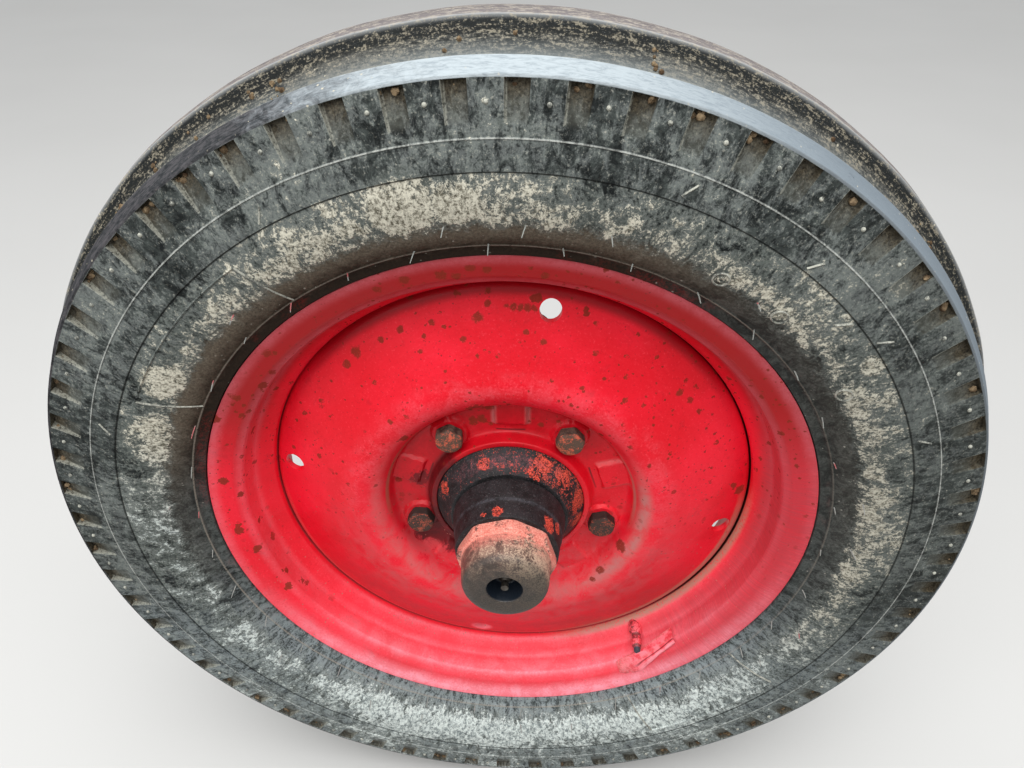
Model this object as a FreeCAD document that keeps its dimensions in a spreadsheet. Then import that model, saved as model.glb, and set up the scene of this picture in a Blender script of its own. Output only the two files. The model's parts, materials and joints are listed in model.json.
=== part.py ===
"""Front wheel of a farm tractor on its stub axle.

Millimetres, +Z up. The origin is on the kingpin's axis, on top of the thrust washer that the axle
beam rests on. The wheel turns about a line along Y, and its outer side faces -Y.

Wheel pieces are drawn by radius from the wheel's axis and by depth. Depth is counted from the plane
of the rim's outer lip and grows inboard, towards the tractor.
"""
import FreeCAD, Part

import math
import os

import Sketcher

# degrees from +X to +Z about the wheel's axis
UPRIGHT = 90

DOC = FreeCAD.newDocument("FrontWheel")
SHEET = DOC.addObject("Spreadsheet::Sheet", "Sizes")

# alias, value, meaning
SIZES = (
    ("kingpin_depth", 184, "kingpin axis inboard of the rim's outer lip"),
    ("axis_drop", 62, "wheel axis below the top of the thrust washer"),
    ("seat_gap", 0.15, "clearance round small seats that don't move"),
    ("bead_gap", 0.6, "clearance between tyre and rim, and round the valve"),
    ("running_gap", 0.05, "radial clearance between a journal and what turns on it"),
    ("face_gap", 0.4, "clearance between a turning face and a standing one"),
    ("rim_width", 100, "rim over both lips"),
    ("rim_wall", 3.4, "rim sheet"),
    ("ridge_radius", 199.3, "inner side of the bead seat where it meets the flange"),
    ("ridge_depth", 10, "depth of that bend"),
    ("flange_height", 22.7, "lip above that bend"),
    ("crease_height", 6.2, "bend between the flange's two slopes, above the ridge"),
    ("crease_depth", 5, "depth of that bend"),
    ("seat_drop", 1.8, "fall of the bead seat's taper"),
    ("seat_width", 15, "outer bead seat between its bends"),
    ("inner_seat_width", 15, "inner bead seat between its bends"),
    ("well_drop", 15.3, "drop centre's floor below the ridge"),
    ("outer_slope", 13.5, "slope from the outer seat down to the floor, its width"),
    ("inner_slope", 13.5, "slope from the floor up to the inner seat, its width"),
    ("rim_bend", 4, "rounding of the rim's bends"),
    ("disc_wall", 5, "disc sheet"),
    ("crest_offset", 38, "crest's bend outside the circle of the bolts"),
    ("crest_centre", 33, "depth of the centre of that bend"),
    ("crest_bend", 20, "outer radius of that bend"),
    ("wall_draft", 20, "slope of the cavity's wall, degrees off the axis"),
    ("shoulder_bend", 8, "bend from the band to the skirt"),
    ("skirt_inset", 7.3, "start of the skirt inside the drop centre's floor"),
    ("skirt_length", 14.2, "straight part of the skirt"),
    ("bolt_face", 34, "depth of the bolt face"),
    ("hole_lip_rise", 10, "outward flange round the centre hole"),
    ("hole_lip_wall", 4, "thickness of that flange at its edge"),
    ("hole_lip_flare", 3.3, "how much wider that flange is at its foot"),
    ("hole_lip_bend", 4, "rounding of that foot"),
    ("cavity_bend", 6, "bend between bolt face and cavity wall"),
    ("pad_count", 5, "raised pads between the bolts"),
    ("pad_width", 24, "pad across"),
    ("pad_inset", 4, "pad's inner edge inside the circle of the bolts"),
    ("pad_length", 22, "pad's length along its radius"),
    ("pad_rise", 3, "pad above the bolt face"),
    ("hand_hole_count", 4, "holes in the outer band"),
    ("hand_hole_inset", 15.85, "their middles inside the skirt"),
    ("hand_hole_radius", 7.5, "their radius"),
    ("hand_hole_turn", 81, "angle of the first one, degrees from +X"),
    ("bolt_count", 5, "wheel bolts"),
    ("bolt_offset", 18.5, "circle of the bolts outside the spigot"),
    ("bolt_turn", 54.6, "angle of the first bolt, degrees from +X"),
    ("bolt_radius", 6, "bolt shank radius"),
    ("bolt_flats", 19, "bolt head across flats"),
    ("bolt_head", 9, "bolt head height"),
    ("bolt_seat", 14, "raised seat round each bolt hole, radius"),
    ("bolt_seat_rise", 3, "height of that seat"),
    ("bolt_past", 4, "bolt end past the hub flange"),
    ("spigot_radius", 56.5, "hub spigot that centres the disc"),
    ("spigot_rise", 8.5, "spigot's front edge before the bolt face"),
    ("cone_step", 1.7, "foot of the cone outside the nose's root"),
    ("cone_length", 17.5, "length of that cone"),
    ("groove_width", 2, "groove behind the nose"),
    ("groove_cut", 1.5, "depth of that groove"),
    ("nose_taper", 5.1, "nose's root outside its end"),
    ("nose_length", 33, "length of the nose"),
    ("nose_wall", 6.2, "nose's wall round the outer bearing at its end"),
    ("flange_rim", 21, "hub flange outside the circle of the bolts"),
    ("hub_flange", 14, "hub flange thickness"),
    ("barrel_wall", 11.5, "hub barrel's wall round the inner bearing, at the flange"),
    ("barrel_end_wall", 8.5, "hub barrel's wall at its inboard end"),
    ("barrel_length", 49, "hub barrel behind the flange, its length"),
    ("bearing_shoulder", 3, "step of the hub's bore behind the outer bearing"),
    ("outer_bearing_section", 13.5, "outer bearing from journal to race"),
    ("outer_journal", 17.5, "outer bearing's journal radius"),
    ("outer_bearing_width", 18, "outer bearing"),
    ("nut_room", 23, "nose beyond the outer bearing"),
    ("inner_bearing_section", 20, "inner bearing from journal to race"),
    ("journal_step", 5, "inner journal's radius above the outer one's"),
    ("inner_bearing_width", 20, "inner bearing"),
    ("seal_step", 5.5, "seal's land above the inner journal"),
    ("seal_width", 8, "seal ring"),
    ("cap_inset", 1.2, "corners of the cap's grip inside the nose's end"),
    ("cap_grip", 8, "width of the grip"),
    ("cap_sides", 8, "sides of the grip"),
    ("cap_turn", 84.5, "angle of one corner, degrees from +X"),
    ("cap_step", 4, "cap barrel inside the grip's corners"),
    ("cap_taper", 2, "taper of the cap barrel"),
    ("cap_length", 33, "cap beyond the nose"),
    ("cap_round", 9, "rounding of the cap's end"),
    ("cap_wall", 5, "cap wall"),
    ("cap_spigot", 9, "cap's screwed spigot inside the nose"),
    ("cap_recess", 12, "recess in the cap's end, radius at its mouth"),
    ("cap_recess_floor", 9.5, "recess radius at its floor"),
    ("cap_recess_depth", 15, "depth of the recess"),
    ("nipple_radius", 5, "grease nipple's body"),
    ("nipple_shank", 3, "grease nipple's shank"),
    ("nipple_tip", 2.6, "grease nipple's ball"),
    ("nipple_length", 13, "grease nipple above the recess floor"),
    ("thread_radius", 12, "stub axle's threaded end"),
    ("thread_length", 16, "length of that end"),
    ("root_step", 4, "stub axle's root above the seal's land"),
    ("root_clear", 8, "root behind the hub's inboard end"),
    ("elbow_step", 1, "upright boss's radius above the root's"),
    ("elbow_foot", 4, "boss below the root"),
    ("elbow_chamfer", 9, "chamfer of the boss at both ends"),
    ("washer_height", 6, "thrust washer"),
    ("washer_land", 2.5, "land in the thrust washer above the kingpin's radius"),
    ("washer_width", 9, "thrust washer from bore to rim"),
    ("kingpin_radius", 17.5, "kingpin journal"),
    ("kingpin_length", 165, "kingpin journal above the thrust washer"),
    ("arm_step", 3.5, "steering arm's seat below the kingpin's radius"),
    ("arm_seat_length", 34, "length of that seat"),
    ("kingpin_thread_step", 3, "threaded end below the arm seat's radius"),
    ("kingpin_thread_length", 22, "threaded end"),
    ("tyre_height", 145.1, "tyre's crown above the rim's ridge"),
    ("crown_rise", 1.2, "crown above the centre rib's edge"),
    ("rib_half", 13, "half the centre rib's width"),
    ("rib_side", 9, "steep part of the centre rib's side"),
    ("rib_foot_width", 3.5, "slope of that part"),
    ("groove_drop", 22.4, "groove floor below the crown"),
    ("groove_side", 9.5, "groove's slope beside the centre rib, its width"),
    ("groove_floor", 12, "groove floor's width"),
    ("shoulder_inner_drop", 13.4, "shoulder rib's inner edge below the crown"),
    ("shoulder_side", 9.5, "groove's slope beside the shoulder rib, its width"),
    ("shoulder_drop", 19.4, "shoulder rib's outer edge below the crown"),
    ("shoulder_rib", 14, "shoulder rib's width"),
    ("shoulder_lip", 1.6, "plain edge of the shoulder rib above the notches"),
    ("shoulder_lean", 0.4, "lean of that edge"),
    ("shoulder_overhang", 7, "sidewall's bulge beyond the shoulder rib"),
    ("bulge_rise", 14.5, "widest place above the sidewall's mid height"),
    ("notch_length", 30, "shoulder rib's edge down to the moulded ring below the notches"),
    ("bead_line_rise", 6, "sidewall's end above the rim's lip"),
    ("bead_overhang", 2.5, "sidewall's end beyond the rim's lip"),
    ("carcass", 8, "sidewall thickness"),
    ("tread_base", 9, "rubber under the grooves"),
    ("belt_drop", 2, "fall of the inside towards the shoulders"),
    ("bead_height", 8, "bead's inner edge above its seat"),
    ("notch_count", 64, "notches round each shoulder"),
    ("notch_width", 12, "notch across"),
    ("notch_depth", 5, "notch at the shoulder rib"),
    ("ring_relief", 1, "moulded ring beyond the notch floor"),
    ("notch_turn", 89, "angle of the first notch, degrees from +X"),
    ("valve_turn", -54.8, "angle of the valve, degrees from +X"),
    ("valve_rise", 6.5, "valve above the drop centre's floor"),
    ("valve_radius", 4, "valve stem"),
    ("valve_cap_radius", 4.6, "valve cap"),
    ("valve_cap_length", 9, "valve cap's length"),
    ("valve_tip", 6, "depth of the valve's tip"),
    ("valve_inside", 52, "depth of the stem's end inside the tyre"),
    ("guard_turn", -53.5, "angle of the valve guard's middle, degrees from +X"),
    ("guard_angle", 16, "angle that the guard covers"),
    ("guard_wall", 2, "guard's sheet"),
)


class Length:
    """A number together with the formula that gives it from the sheet."""

    def __init__(self, value, formula):
        self.value = value
        self.formula = formula

    def __add__(self, other):
        other = as_length(other)
        return Length(self.value + other.value, f"({self.formula} + {other.formula})")

    def __radd__(self, other):
        return as_length(other) + self

    def __sub__(self, other):
        other = as_length(other)
        return Length(self.value - other.value, f"({self.formula} - {other.formula})")

    def __rsub__(self, other):
        return as_length(other) - self

    def __mul__(self, other):
        other = as_length(other)
        return Length(self.value * other.value, f"({self.formula} * {other.formula})")

    def __rmul__(self, other):
        return as_length(other) * self

    def __truediv__(self, other):
        other = as_length(other)
        return Length(self.value / other.value, f"({self.formula} / {other.formula})")

    def __neg__(self):
        return Length(-self.value, f"(0 - {self.formula})")


def as_length(number):
    if isinstance(number, Length):
        return number
    return Length(number, f"({number})")


def cosine(degrees):
    angle = as_length(degrees)
    return Length(math.cos(math.radians(angle.value)), f"cos({angle.formula} * 1 deg)")


def sine(degrees):
    angle = as_length(degrees)
    return Length(math.sin(math.radians(angle.value)), f"sin({angle.formula} * 1 deg)")


def square_root(number):
    number = as_length(number)
    return Length(math.sqrt(number.value), f"sqrt({number.formula})")


def arc_sine(ratio):
    """Angle in degrees."""
    ratio = as_length(ratio)
    return Length(math.degrees(math.asin(ratio.value)), f"(asin({ratio.formula}) / 1 deg)")


def direction(across, up):
    """Angle in degrees of a way that goes across and up."""
    angle = math.degrees(math.atan2(up.value, across.value))
    return Length(angle, f"(atan2({up.formula}; {across.formula}) / 1 deg)")


class Sizes:
    """Every size of the sheet, by its name."""


def fill_sheet():
    sizes = Sizes()
    for row, (alias, value, meaning) in enumerate(SIZES, start=1):
        SHEET.set(f"A{row}", meaning)
        SHEET.set(f"B{row}", str(value))
        SHEET.setAlias(f"B{row}", alias)
        setattr(sizes, alias, Length(value, f"Sizes.{alias}"))
    DOC.recompute()
    return sizes


def new_body(label):
    body = DOC.addObject("PartDesign::Body", label)
    body.Label = label
    return body


def origin_feature(body, role):
    return next(item for item in body.Origin.OriginFeatures if item.Role == role)


def place(body, across, depth, height, turn=0):
    """Put a body at its place, turned about the wheel's axis from +X towards +Z."""
    turn = as_length(turn)
    about_y = FreeCAD.Rotation(FreeCAD.Vector(0, 1, 0), -turn.value)
    body.Placement = FreeCAD.Placement(FreeCAD.Vector(), about_y)
    if turn.value:
        body.setExpression("Placement.Rotation.Angle", f"{(-turn).formula} * 1 deg")
    for axis, distance in (("x", across), ("y", depth), ("z", height)):
        body.setExpression(f"Placement.Base.{axis}", as_length(distance).formula)


def place_at_wheel(body, turn=0):
    place(body, 0, -S.kingpin_depth, -S.axis_drop, turn)


def arc_between(start, end, radius, left):
    """Short arc from start to end, its centre to the left or to the right of the way."""
    run = end - start
    half = run.Length / 2
    normal = FreeCAD.Vector(-run.y, run.x, 0).normalize()
    reach = math.sqrt(max(radius * radius - half * half, 0.0))
    centre = (start + end) * 0.5 + normal * (reach if left else -reach)
    circle = Part.Circle(centre, FreeCAD.Vector(0, 0, 1), radius)
    first, last = (start, end) if left else (end, start)
    return Part.ArcOfCircle(circle, circle.parameter(first), circle.parameter(last))


def draw_loop(sketch, tag, outline):
    """Draw one closed outline, with each corner and bend tied to its formula.

    A corner is (x, y), or (x, y, bend, side) where an arc of that radius leads to the next
    corner, with its centre on that side of the way.
    """
    corners = [FreeCAD.Vector(as_length(c[0]).value, as_length(c[1]).value, 0) for c in outline]
    count = len(outline)
    first = sketch.GeometryCount
    starts = []
    ends = []
    for index, corner in enumerate(outline):
        begin = corners[index]
        finish = corners[(index + 1) % count]
        backwards = len(corner) == 4 and corner[3] == "right"
        if len(corner) == 4:
            edge = arc_between(begin, finish, corner[2].value, corner[3] == "left")
        else:
            edge = Part.LineSegment(begin, finish)
        sketch.addGeometry(edge, False)
        starts.append(2 if backwards else 1)
        ends.append(1 if backwards else 2)
    constraints = []
    bound = []
    for index, corner in enumerate(outline):
        here = first + index
        before = first + (index - 1) % count
        joint = (before, ends[(index - 1) % count], here, starts[index])
        constraints.append(Sketcher.Constraint("Coincident", *joint))
        for kind, axis, size in (("DistanceX", -2, corner[0]), ("DistanceY", -1, corner[1])):
            size = as_length(size)
            if size.formula == "(0)":
                constraints.append(Sketcher.Constraint("PointOnObject", here, starts[index], axis))
                continue
            constraints.append(Sketcher.Constraint(kind, -1, 1, here, starts[index], size.value))
            bound.append((len(constraints) - 1, f"{tag}{kind[-1]}{index}", size))
        if len(corner) == 4:
            constraints.append(Sketcher.Constraint("Radius", here, corner[2].value))
            bound.append((len(constraints) - 1, f"{tag}R{index}", corner[2]))
    base = sketch.ConstraintCount
    sketch.addConstraint(constraints)
    for offset, name, size in bound:
        sketch.renameConstraint(base + offset, name)
        sketch.setExpression(f"Constraints.{name}", size.formula)


def new_sketch(body, name, role, offset=0):
    """Sketch on a plane of its body's origin, moved along the plane's normal by offset."""
    sketch = body.newObject("Sketcher::SketchObject", name)
    sketch.AttachmentSupport = [(origin_feature(body, role), "")]
    sketch.MapMode = "FlatFace"
    offset = as_length(offset)
    if offset.value:
        sketch.setExpression("AttachmentOffset.Base.z", offset.formula)
    return sketch


def turned(body, name, outline, plane="XY_Plane", offset=0, angle=None):
    """Solid turned about the sketch's upright axis. On the XY plane that is the wheel's axis,
    with corners of (radius, depth), and on the XZ plane the kingpin's, with (radius, height)."""
    sketch = new_sketch(body, name + "Outline", plane, offset)
    draw_loop(sketch, "c", outline)
    solid = body.newObject("PartDesign::Revolution", name)
    solid.Profile = sketch
    solid.ReferenceAxis = (sketch, ["V_Axis"])
    solid.Angle = 360
    if angle is not None:
        solid.setExpression("Angle", angle.formula)
        solid.Midplane = True
    return solid


def round_the_axis(body, name, feature, count):
    pattern = body.newObject("PartDesign::PolarPattern", name)
    pattern.Originals = [feature]
    pattern.Axis = (origin_feature(body, "Y_Axis"), [""])
    pattern.Angle = 360
    pattern.setExpression("Occurrences", count.formula)
    body.Tip = pattern
    return pattern


def circle_on_face(body, name, circle, turn, radius, offset=0):
    """Sketch of a circle across the wheel's axis, on a circle round that axis."""
    sketch = new_sketch(body, name, "XZ_Plane", offset)
    across = circle * cosine(turn)
    up = circle * sine(turn)
    middle = FreeCAD.Vector(across.value, up.value, 0)
    sketch.addGeometry(Part.Circle(middle, FreeCAD.Vector(0, 0, 1), radius.value), False)
    sketch.addConstraint([
        Sketcher.Constraint("DistanceX", -1, 1, 0, 3, across.value),
        Sketcher.Constraint("DistanceY", -1, 1, 0, 3, up.value),
        Sketcher.Constraint("Radius", 0, radius.value),
    ])
    for index, (word, size) in enumerate((("across", across), ("up", up), ("size", radius))):
        sketch.renameConstraint(index, word)
        sketch.setExpression(f"Constraints.{word}", size.formula)
    return sketch


def hole_along_axis(body, name, circle, turn, radius, length=None):
    """Round hole along the wheel's axis, through everything or to a length from depth 0."""
    hole = body.newObject("PartDesign::Pocket", name)
    hole.Profile = circle_on_face(body, name + "Circle", circle, turn, radius)
    if length is None:
        hole.Type = "ThroughAll"
        hole.Midplane = True
    else:
        hole.Type = "Length"
        hole.setExpression("Length", length.formula)
    return hole


def circle_edges(shape, radius, depth):
    """Names of the round edges about the wheel's axis at one radius and depth."""
    names = []
    for number, edge in enumerate(shape.Edges, start=1):
        curve = edge.Curve
        if not isinstance(curve, Part.Circle) or abs(curve.Radius - radius.value) > 0.01:
            continue
        centre = curve.Center
        if abs(centre.y - depth.value) < 0.01 and math.hypot(centre.x, centre.z) < 0.01:
            names.append(f"Edge{number}")
    return names


def round_bends(body, name, bend, places):
    """Round the circular edges at the given (radius, depth) places."""
    DOC.recompute()
    base = body.Tip
    names = []
    for radius, depth in places:
        names += circle_edges(base.Shape, as_length(radius), as_length(depth))
    fillet = body.newObject("PartDesign::Fillet", name)
    fillet.Base = (base, names)
    fillet.setExpression("Radius", as_length(bend).formula)
    return fillet


def derived_sizes():
    """Places that several pieces share."""
    S.lip_radius = S.ridge_radius + S.flange_height
    S.seat_end_radius = S.ridge_radius - S.seat_drop
    S.well_radius = S.ridge_radius - S.well_drop
    S.well_start = S.ridge_depth + S.seat_width + S.outer_slope
    S.well_end = S.rim_width - S.ridge_depth - S.inner_seat_width - S.inner_slope
    S.valve_circle = S.well_radius + S.valve_rise
    S.tyre_middle = S.rim_width / 2
    S.crown_radius = S.ridge_radius + S.tyre_height

    S.inner_journal = S.outer_journal + S.journal_step
    S.seal_land = S.inner_journal + S.seal_step
    S.root_radius = S.seal_land + S.root_step
    S.elbow_radius = S.root_radius + S.elbow_step
    S.outer_race = S.outer_journal + S.outer_bearing_section
    S.inner_race = S.inner_journal + S.inner_bearing_section
    S.nose_end_radius = S.outer_race + S.nose_wall
    S.nose_radius = S.nose_end_radius + S.nose_taper

    S.skirt_radius = S.well_radius - S.seat_gap
    S.skirt_start = S.well_start + S.skirt_inset
    S.skirt_end = S.skirt_start + S.skirt_length
    S.hand_hole_circle = S.skirt_radius - S.hand_hole_inset
    S.centre_hole = S.spigot_radius + S.seat_gap
    S.bolt_circle = S.spigot_radius + S.bolt_offset
    S.crest_radius = S.bolt_circle + S.crest_offset
    S.hub_face = S.bolt_face + S.disc_wall
    S.hub_flange_back = S.hub_face + S.hub_flange
    S.barrel_end = S.hub_flange_back + S.barrel_length
    S.spigot_face = S.bolt_face - S.spigot_rise
    S.cone_end = S.spigot_face - S.cone_length
    S.nose_root = S.cone_end - S.groove_width
    S.nose_end = S.nose_root - S.nose_length
    S.cap_end = S.nose_end - S.cap_length
    S.recess_floor = S.cap_end + S.cap_recess_depth
    S.outer_bearing_start = S.nose_end + S.nut_room
    S.outer_bearing_end = S.outer_bearing_start + S.outer_bearing_width
    S.seal_start = S.barrel_end - S.seal_width
    S.inner_bearing_end = S.seal_start - S.face_gap
    S.inner_bearing_start = S.inner_bearing_end - S.inner_bearing_width

    S.washer_bore = S.kingpin_radius + S.washer_land + S.seat_gap
    S.washer_radius = S.washer_bore + S.washer_width


def make_rim():
    """One-piece drop-centre rim, rolled from sheet. Its drop centre lies nearer the outer side."""
    body = new_body("rim")
    wall = S.rim_wall
    # corners of the side that faces the axle: radius, depth, and the sheet's thickness there
    # as parts of the wall across and along
    outer_side = (
        (S.lip_radius, as_length(0), 0, 1),
        (S.ridge_radius + S.crease_height, S.crease_depth, 0.47, 0.9),
        (S.ridge_radius, S.ridge_depth, 0.95, 0.5),
        (S.seat_end_radius, S.ridge_depth + S.seat_width, 0.95, 0.46),
        (S.well_radius, S.well_start, 1, 0.41),
    )
    inner_side = (
        (S.well_radius, S.well_end, 1, -0.41),
        (S.seat_end_radius, S.rim_width - S.ridge_depth - S.inner_seat_width, 0.95, -0.46),
        (S.ridge_radius, S.rim_width - S.ridge_depth, 0.95, -0.5),
        (S.ridge_radius + S.crease_height, S.rim_width - S.crease_depth, 0.47, -0.9),
        (S.lip_radius, S.rim_width, 0, -1),
    )
    section = outer_side + inner_side
    axle_side = [(radius, depth) for radius, depth, across, along in section]
    tyre_side = [(radius + wall * across, depth + wall * along) for radius, depth, across, along in section]
    turned(body, "RimSheet", axle_side + tyre_side[::-1])
    round_bends(body, "RimBends", S.rim_bend, axle_side[1:-1])
    valve_hole = S.valve_radius + S.bead_gap
    hole_along_axis(body, "ValveHole", S.valve_circle, S.valve_turn, valve_hole, S.valve_inside)
    place_at_wheel(body)
    return body


def make_disc():
    """Pressed wheel disc: outer band, rolled crest, recessed bolt face with raised pads."""
    body = new_body("disc")
    wall = S.disc_wall
    inner_bend = S.crest_bend - wall
    draft = sine(S.wall_draft) / cosine(S.wall_draft)
    # the band runs straight from the crest's bend to the shoulder's
    across = S.skirt_radius - S.shoulder_bend - S.crest_radius
    along = S.skirt_start - S.crest_centre
    apart = square_root(across * across + along * along)
    band_slope = direction(across, along) + arc_sine((S.crest_bend - S.shoulder_bend) / apart)

    def wall_top(bend):
        return (S.crest_radius - bend * cosine(S.wall_draft), S.crest_centre - bend * sine(S.wall_draft))

    def band_top(bend):
        return (S.crest_radius + bend * sine(band_slope), S.crest_centre - bend * cosine(band_slope))

    def band_foot(bend):
        middle = S.skirt_radius - S.shoulder_bend
        return (middle + bend * sine(band_slope), S.skirt_start - bend * cosine(band_slope))

    def wall_foot(bend, depth):
        top_radius, top_depth = wall_top(bend)
        return (top_radius - (depth - top_depth) * draft, depth)

    lip_face = S.bolt_face - S.hole_lip_rise
    lip_edge = S.centre_hole + S.hole_lip_wall
    lip_foot = lip_edge + S.hole_lip_flare
    outline = [
        (S.centre_hole, lip_face),
        (lip_edge, lip_face),
        (lip_foot, S.bolt_face),
        wall_foot(S.crest_bend, S.bolt_face),
        (*wall_top(S.crest_bend), S.crest_bend, "left"),
        band_top(S.crest_bend),
        (*band_foot(S.shoulder_bend), S.shoulder_bend, "left"),
        (S.skirt_radius, S.skirt_start),
        (S.skirt_radius, S.skirt_end),
        (S.skirt_radius - wall, S.skirt_end),
        (S.skirt_radius - wall, S.skirt_start, S.shoulder_bend - wall, "right"),
        band_foot(S.shoulder_bend - wall),
        (*band_top(inner_bend), inner_bend, "right"),
        wall_top(inner_bend),
        wall_foot(inner_bend, S.bolt_face + wall),
        (S.centre_hole, S.bolt_face + wall),
    ]
    turned(body, "DiscSheet", outline)
    round_bends(body, "HoleLipBend", S.hole_lip_bend, [(lip_foot, S.bolt_face)])
    round_bends(body, "CavityBend", S.cavity_bend, [wall_foot(S.crest_bend, S.bolt_face)])
    round_bends(body, "CavityBendBehind", S.cavity_bend + wall, [wall_foot(inner_bend, S.bolt_face + wall)])
    sketch = new_sketch(body, "PadOutline", "XZ_Plane", -S.bolt_face)
    pad_inner = S.bolt_circle - S.pad_inset
    draw_loop(sketch, "c", [
        (-S.pad_width / 2, pad_inner),
        (S.pad_width / 2, pad_inner),
        (S.pad_width / 2, pad_inner + S.pad_length),
        (-S.pad_width / 2, pad_inner + S.pad_length),
    ])
    pad = body.newObject("PartDesign::Pad", "RaisedPad")
    pad.Profile = sketch
    pad.setExpression("Length", S.pad_rise.formula)
    round_the_axis(body, "RaisedPads", pad, S.pad_count)
    seat = body.newObject("PartDesign::Pad", "BoltSeat")
    seat.Profile = circle_on_face(body, "BoltSeatOutline", S.bolt_circle, S.bolt_turn, S.bolt_seat, -S.bolt_face)
    seat.setExpression("Length", S.bolt_seat_rise.formula)
    round_the_axis(body, "BoltSeats", seat, S.bolt_count)
    bolt_hole = hole_along_axis(body, "BoltHole", S.bolt_circle, S.bolt_turn, S.bolt_radius + S.bead_gap)
    round_the_axis(body, "BoltHoles", bolt_hole, S.bolt_count)
    hand_hole = hole_along_axis(body, "HandHole", S.hand_hole_circle, S.hand_hole_turn, S.hand_hole_radius)
    round_the_axis(body, "HandHoles", hand_hole, S.hand_hole_count)
    place_at_wheel(body)
    return body


def make_hub():
    """Cast hub: tapered nose, cone, spigot, bolt flange and barrel, bored for two bearings."""
    body = new_body("hub")
    bore = S.outer_race - S.bearing_shoulder
    turned(body, "HubCasting", [
        (S.outer_race + S.seat_gap, S.nose_end),
        (S.nose_end_radius, S.nose_end),
        (S.nose_radius, S.nose_root),
        (S.nose_radius - S.groove_cut, S.nose_root),
        (S.nose_radius - S.groove_cut, S.cone_end),
        (S.nose_radius + S.cone_step, S.cone_end),
        (S.spigot_radius, S.spigot_face),
        (S.spigot_radius, S.hub_face),
        (S.bolt_circle + S.flange_rim, S.hub_face),
        (S.bolt_circle + S.flange_rim, S.hub_flange_back),
        (S.inner_race + S.barrel_wall, S.hub_flange_back),
        (S.inner_race + S.barrel_end_wall, S.barrel_end),
        (S.inner_race + S.seat_gap, S.barrel_end),
        (S.inner_race + S.seat_gap, S.inner_bearing_start),
        (bore, S.inner_bearing_start),
        (bore, S.outer_bearing_end),
        (S.outer_race + S.seat_gap, S.outer_bearing_end),
    ])
    bolt_hole = hole_along_axis(body, "FlangeHole", S.bolt_circle, S.bolt_turn, S.bolt_radius + S.seat_gap)
    round_the_axis(body, "FlangeHoles", bolt_hole, S.bolt_count)
    place_at_wheel(body)
    return body


def make_ring(label, inner, outer, start, end):
    """Plain ring about the wheel's axis, such as a bearing or the seal."""
    body = new_body(label)
    turned(body, label + "_ring", [(inner, start), (outer, start), (outer, end), (inner, end)])
    place_at_wheel(body)
    return body


def make_bearings_and_seal():
    gap = S.running_gap
    return [
        make_ring("outer_bearing", S.outer_journal + gap, S.outer_race, S.outer_bearing_start,
                  S.outer_bearing_end),
        make_ring("inner_bearing", S.inner_journal + gap, S.inner_race, S.inner_bearing_start,
                  S.inner_bearing_end),
        make_ring("hub_seal", S.seal_land + gap, S.inner_race, S.seal_start, S.barrel_end),
    ]


def polygon(sides, corner, turn):
    """Corners of a regular polygon round the sketch's origin."""
    step = 360 / sides
    return [(corner * cosine(turn + step * k), corner * sine(turn + step * k)) for k in range(sides)]


def make_hub_cap():
    """Screwed cap: a spigot in the nose, an eight-sided grip and a barrel with a rounded end."""
    body = new_body("hub_cap")
    spigot = S.outer_race - S.seat_gap
    bore = S.outer_race - S.cap_wall
    corner = S.nose_end_radius - S.cap_inset
    barrel = corner - S.cap_step
    barrel_end = barrel - S.cap_taper
    cavity_end = S.recess_floor + S.cap_wall
    turned(body, "CapBarrel", [
        (S.nipple_shank + S.seat_gap, S.recess_floor),
        (S.cap_recess_floor, S.recess_floor),
        (S.cap_recess, S.cap_end),
        (barrel_end - S.cap_round, S.cap_end, S.cap_round, "left"),
        (barrel_end, S.cap_end + S.cap_round),
        (barrel, S.nose_end - S.cap_grip),
        (barrel, S.nose_end),
        (spigot, S.nose_end),
        (spigot, S.nose_end + S.cap_spigot),
        (bore, S.nose_end + S.cap_spigot),
        (bore, cavity_end),
        (S.nipple_shank + S.seat_gap, cavity_end),
    ])
    sketch = new_sketch(body, "GripOutline", "XZ_Plane", -S.nose_end)
    draw_loop(sketch, "c", polygon(int(S.cap_sides.value), corner, S.cap_turn))
    draw_circle(sketch, "bore", S.outer_race - S.cap_wall / 2)
    grip = body.newObject("PartDesign::Pad", "Grip")
    grip.Profile = sketch
    grip.setExpression("Length", S.cap_grip.formula)
    place_at_wheel(body)
    return body


def draw_circle(sketch, name, radius):
    """Circle round the sketch's origin."""
    number = sketch.addGeometry(Part.Circle(FreeCAD.Vector(), FreeCAD.Vector(0, 0, 1), radius.value), False)
    sketch.addConstraint(Sketcher.Constraint("Coincident", number, 3, -1, 1))
    index = sketch.addConstraint(Sketcher.Constraint("Radius", number, radius.value))
    sketch.renameConstraint(index, name)
    sketch.setExpression(f"Constraints.{name}", radius.formula)


def make_grease_nipple():
    """Ball-ended nipple in the middle of the cap's recess."""
    body = new_body("cap_grease_nipple")
    floor = S.recess_floor
    tip = floor - S.nipple_length
    turned(body, "Nipple", [
        (0, floor + S.cap_wall),
        (0, tip),
        (S.nipple_tip, tip),
        (S.nipple_tip, tip + S.nipple_tip * 1.5),
        (S.nipple_tip * 0.7, tip + S.nipple_tip * 2.2),
        (S.nipple_radius, floor - S.nipple_length / 3),
        (S.nipple_radius, floor),
        (S.nipple_shank, floor),
        (S.nipple_shank, floor + S.cap_wall),
    ])
    place_at_wheel(body)
    return body


# how far each bolt's head happens to be turned, degrees
HEAD_TURNS = (10, 30, 0, 45, 15)


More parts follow.
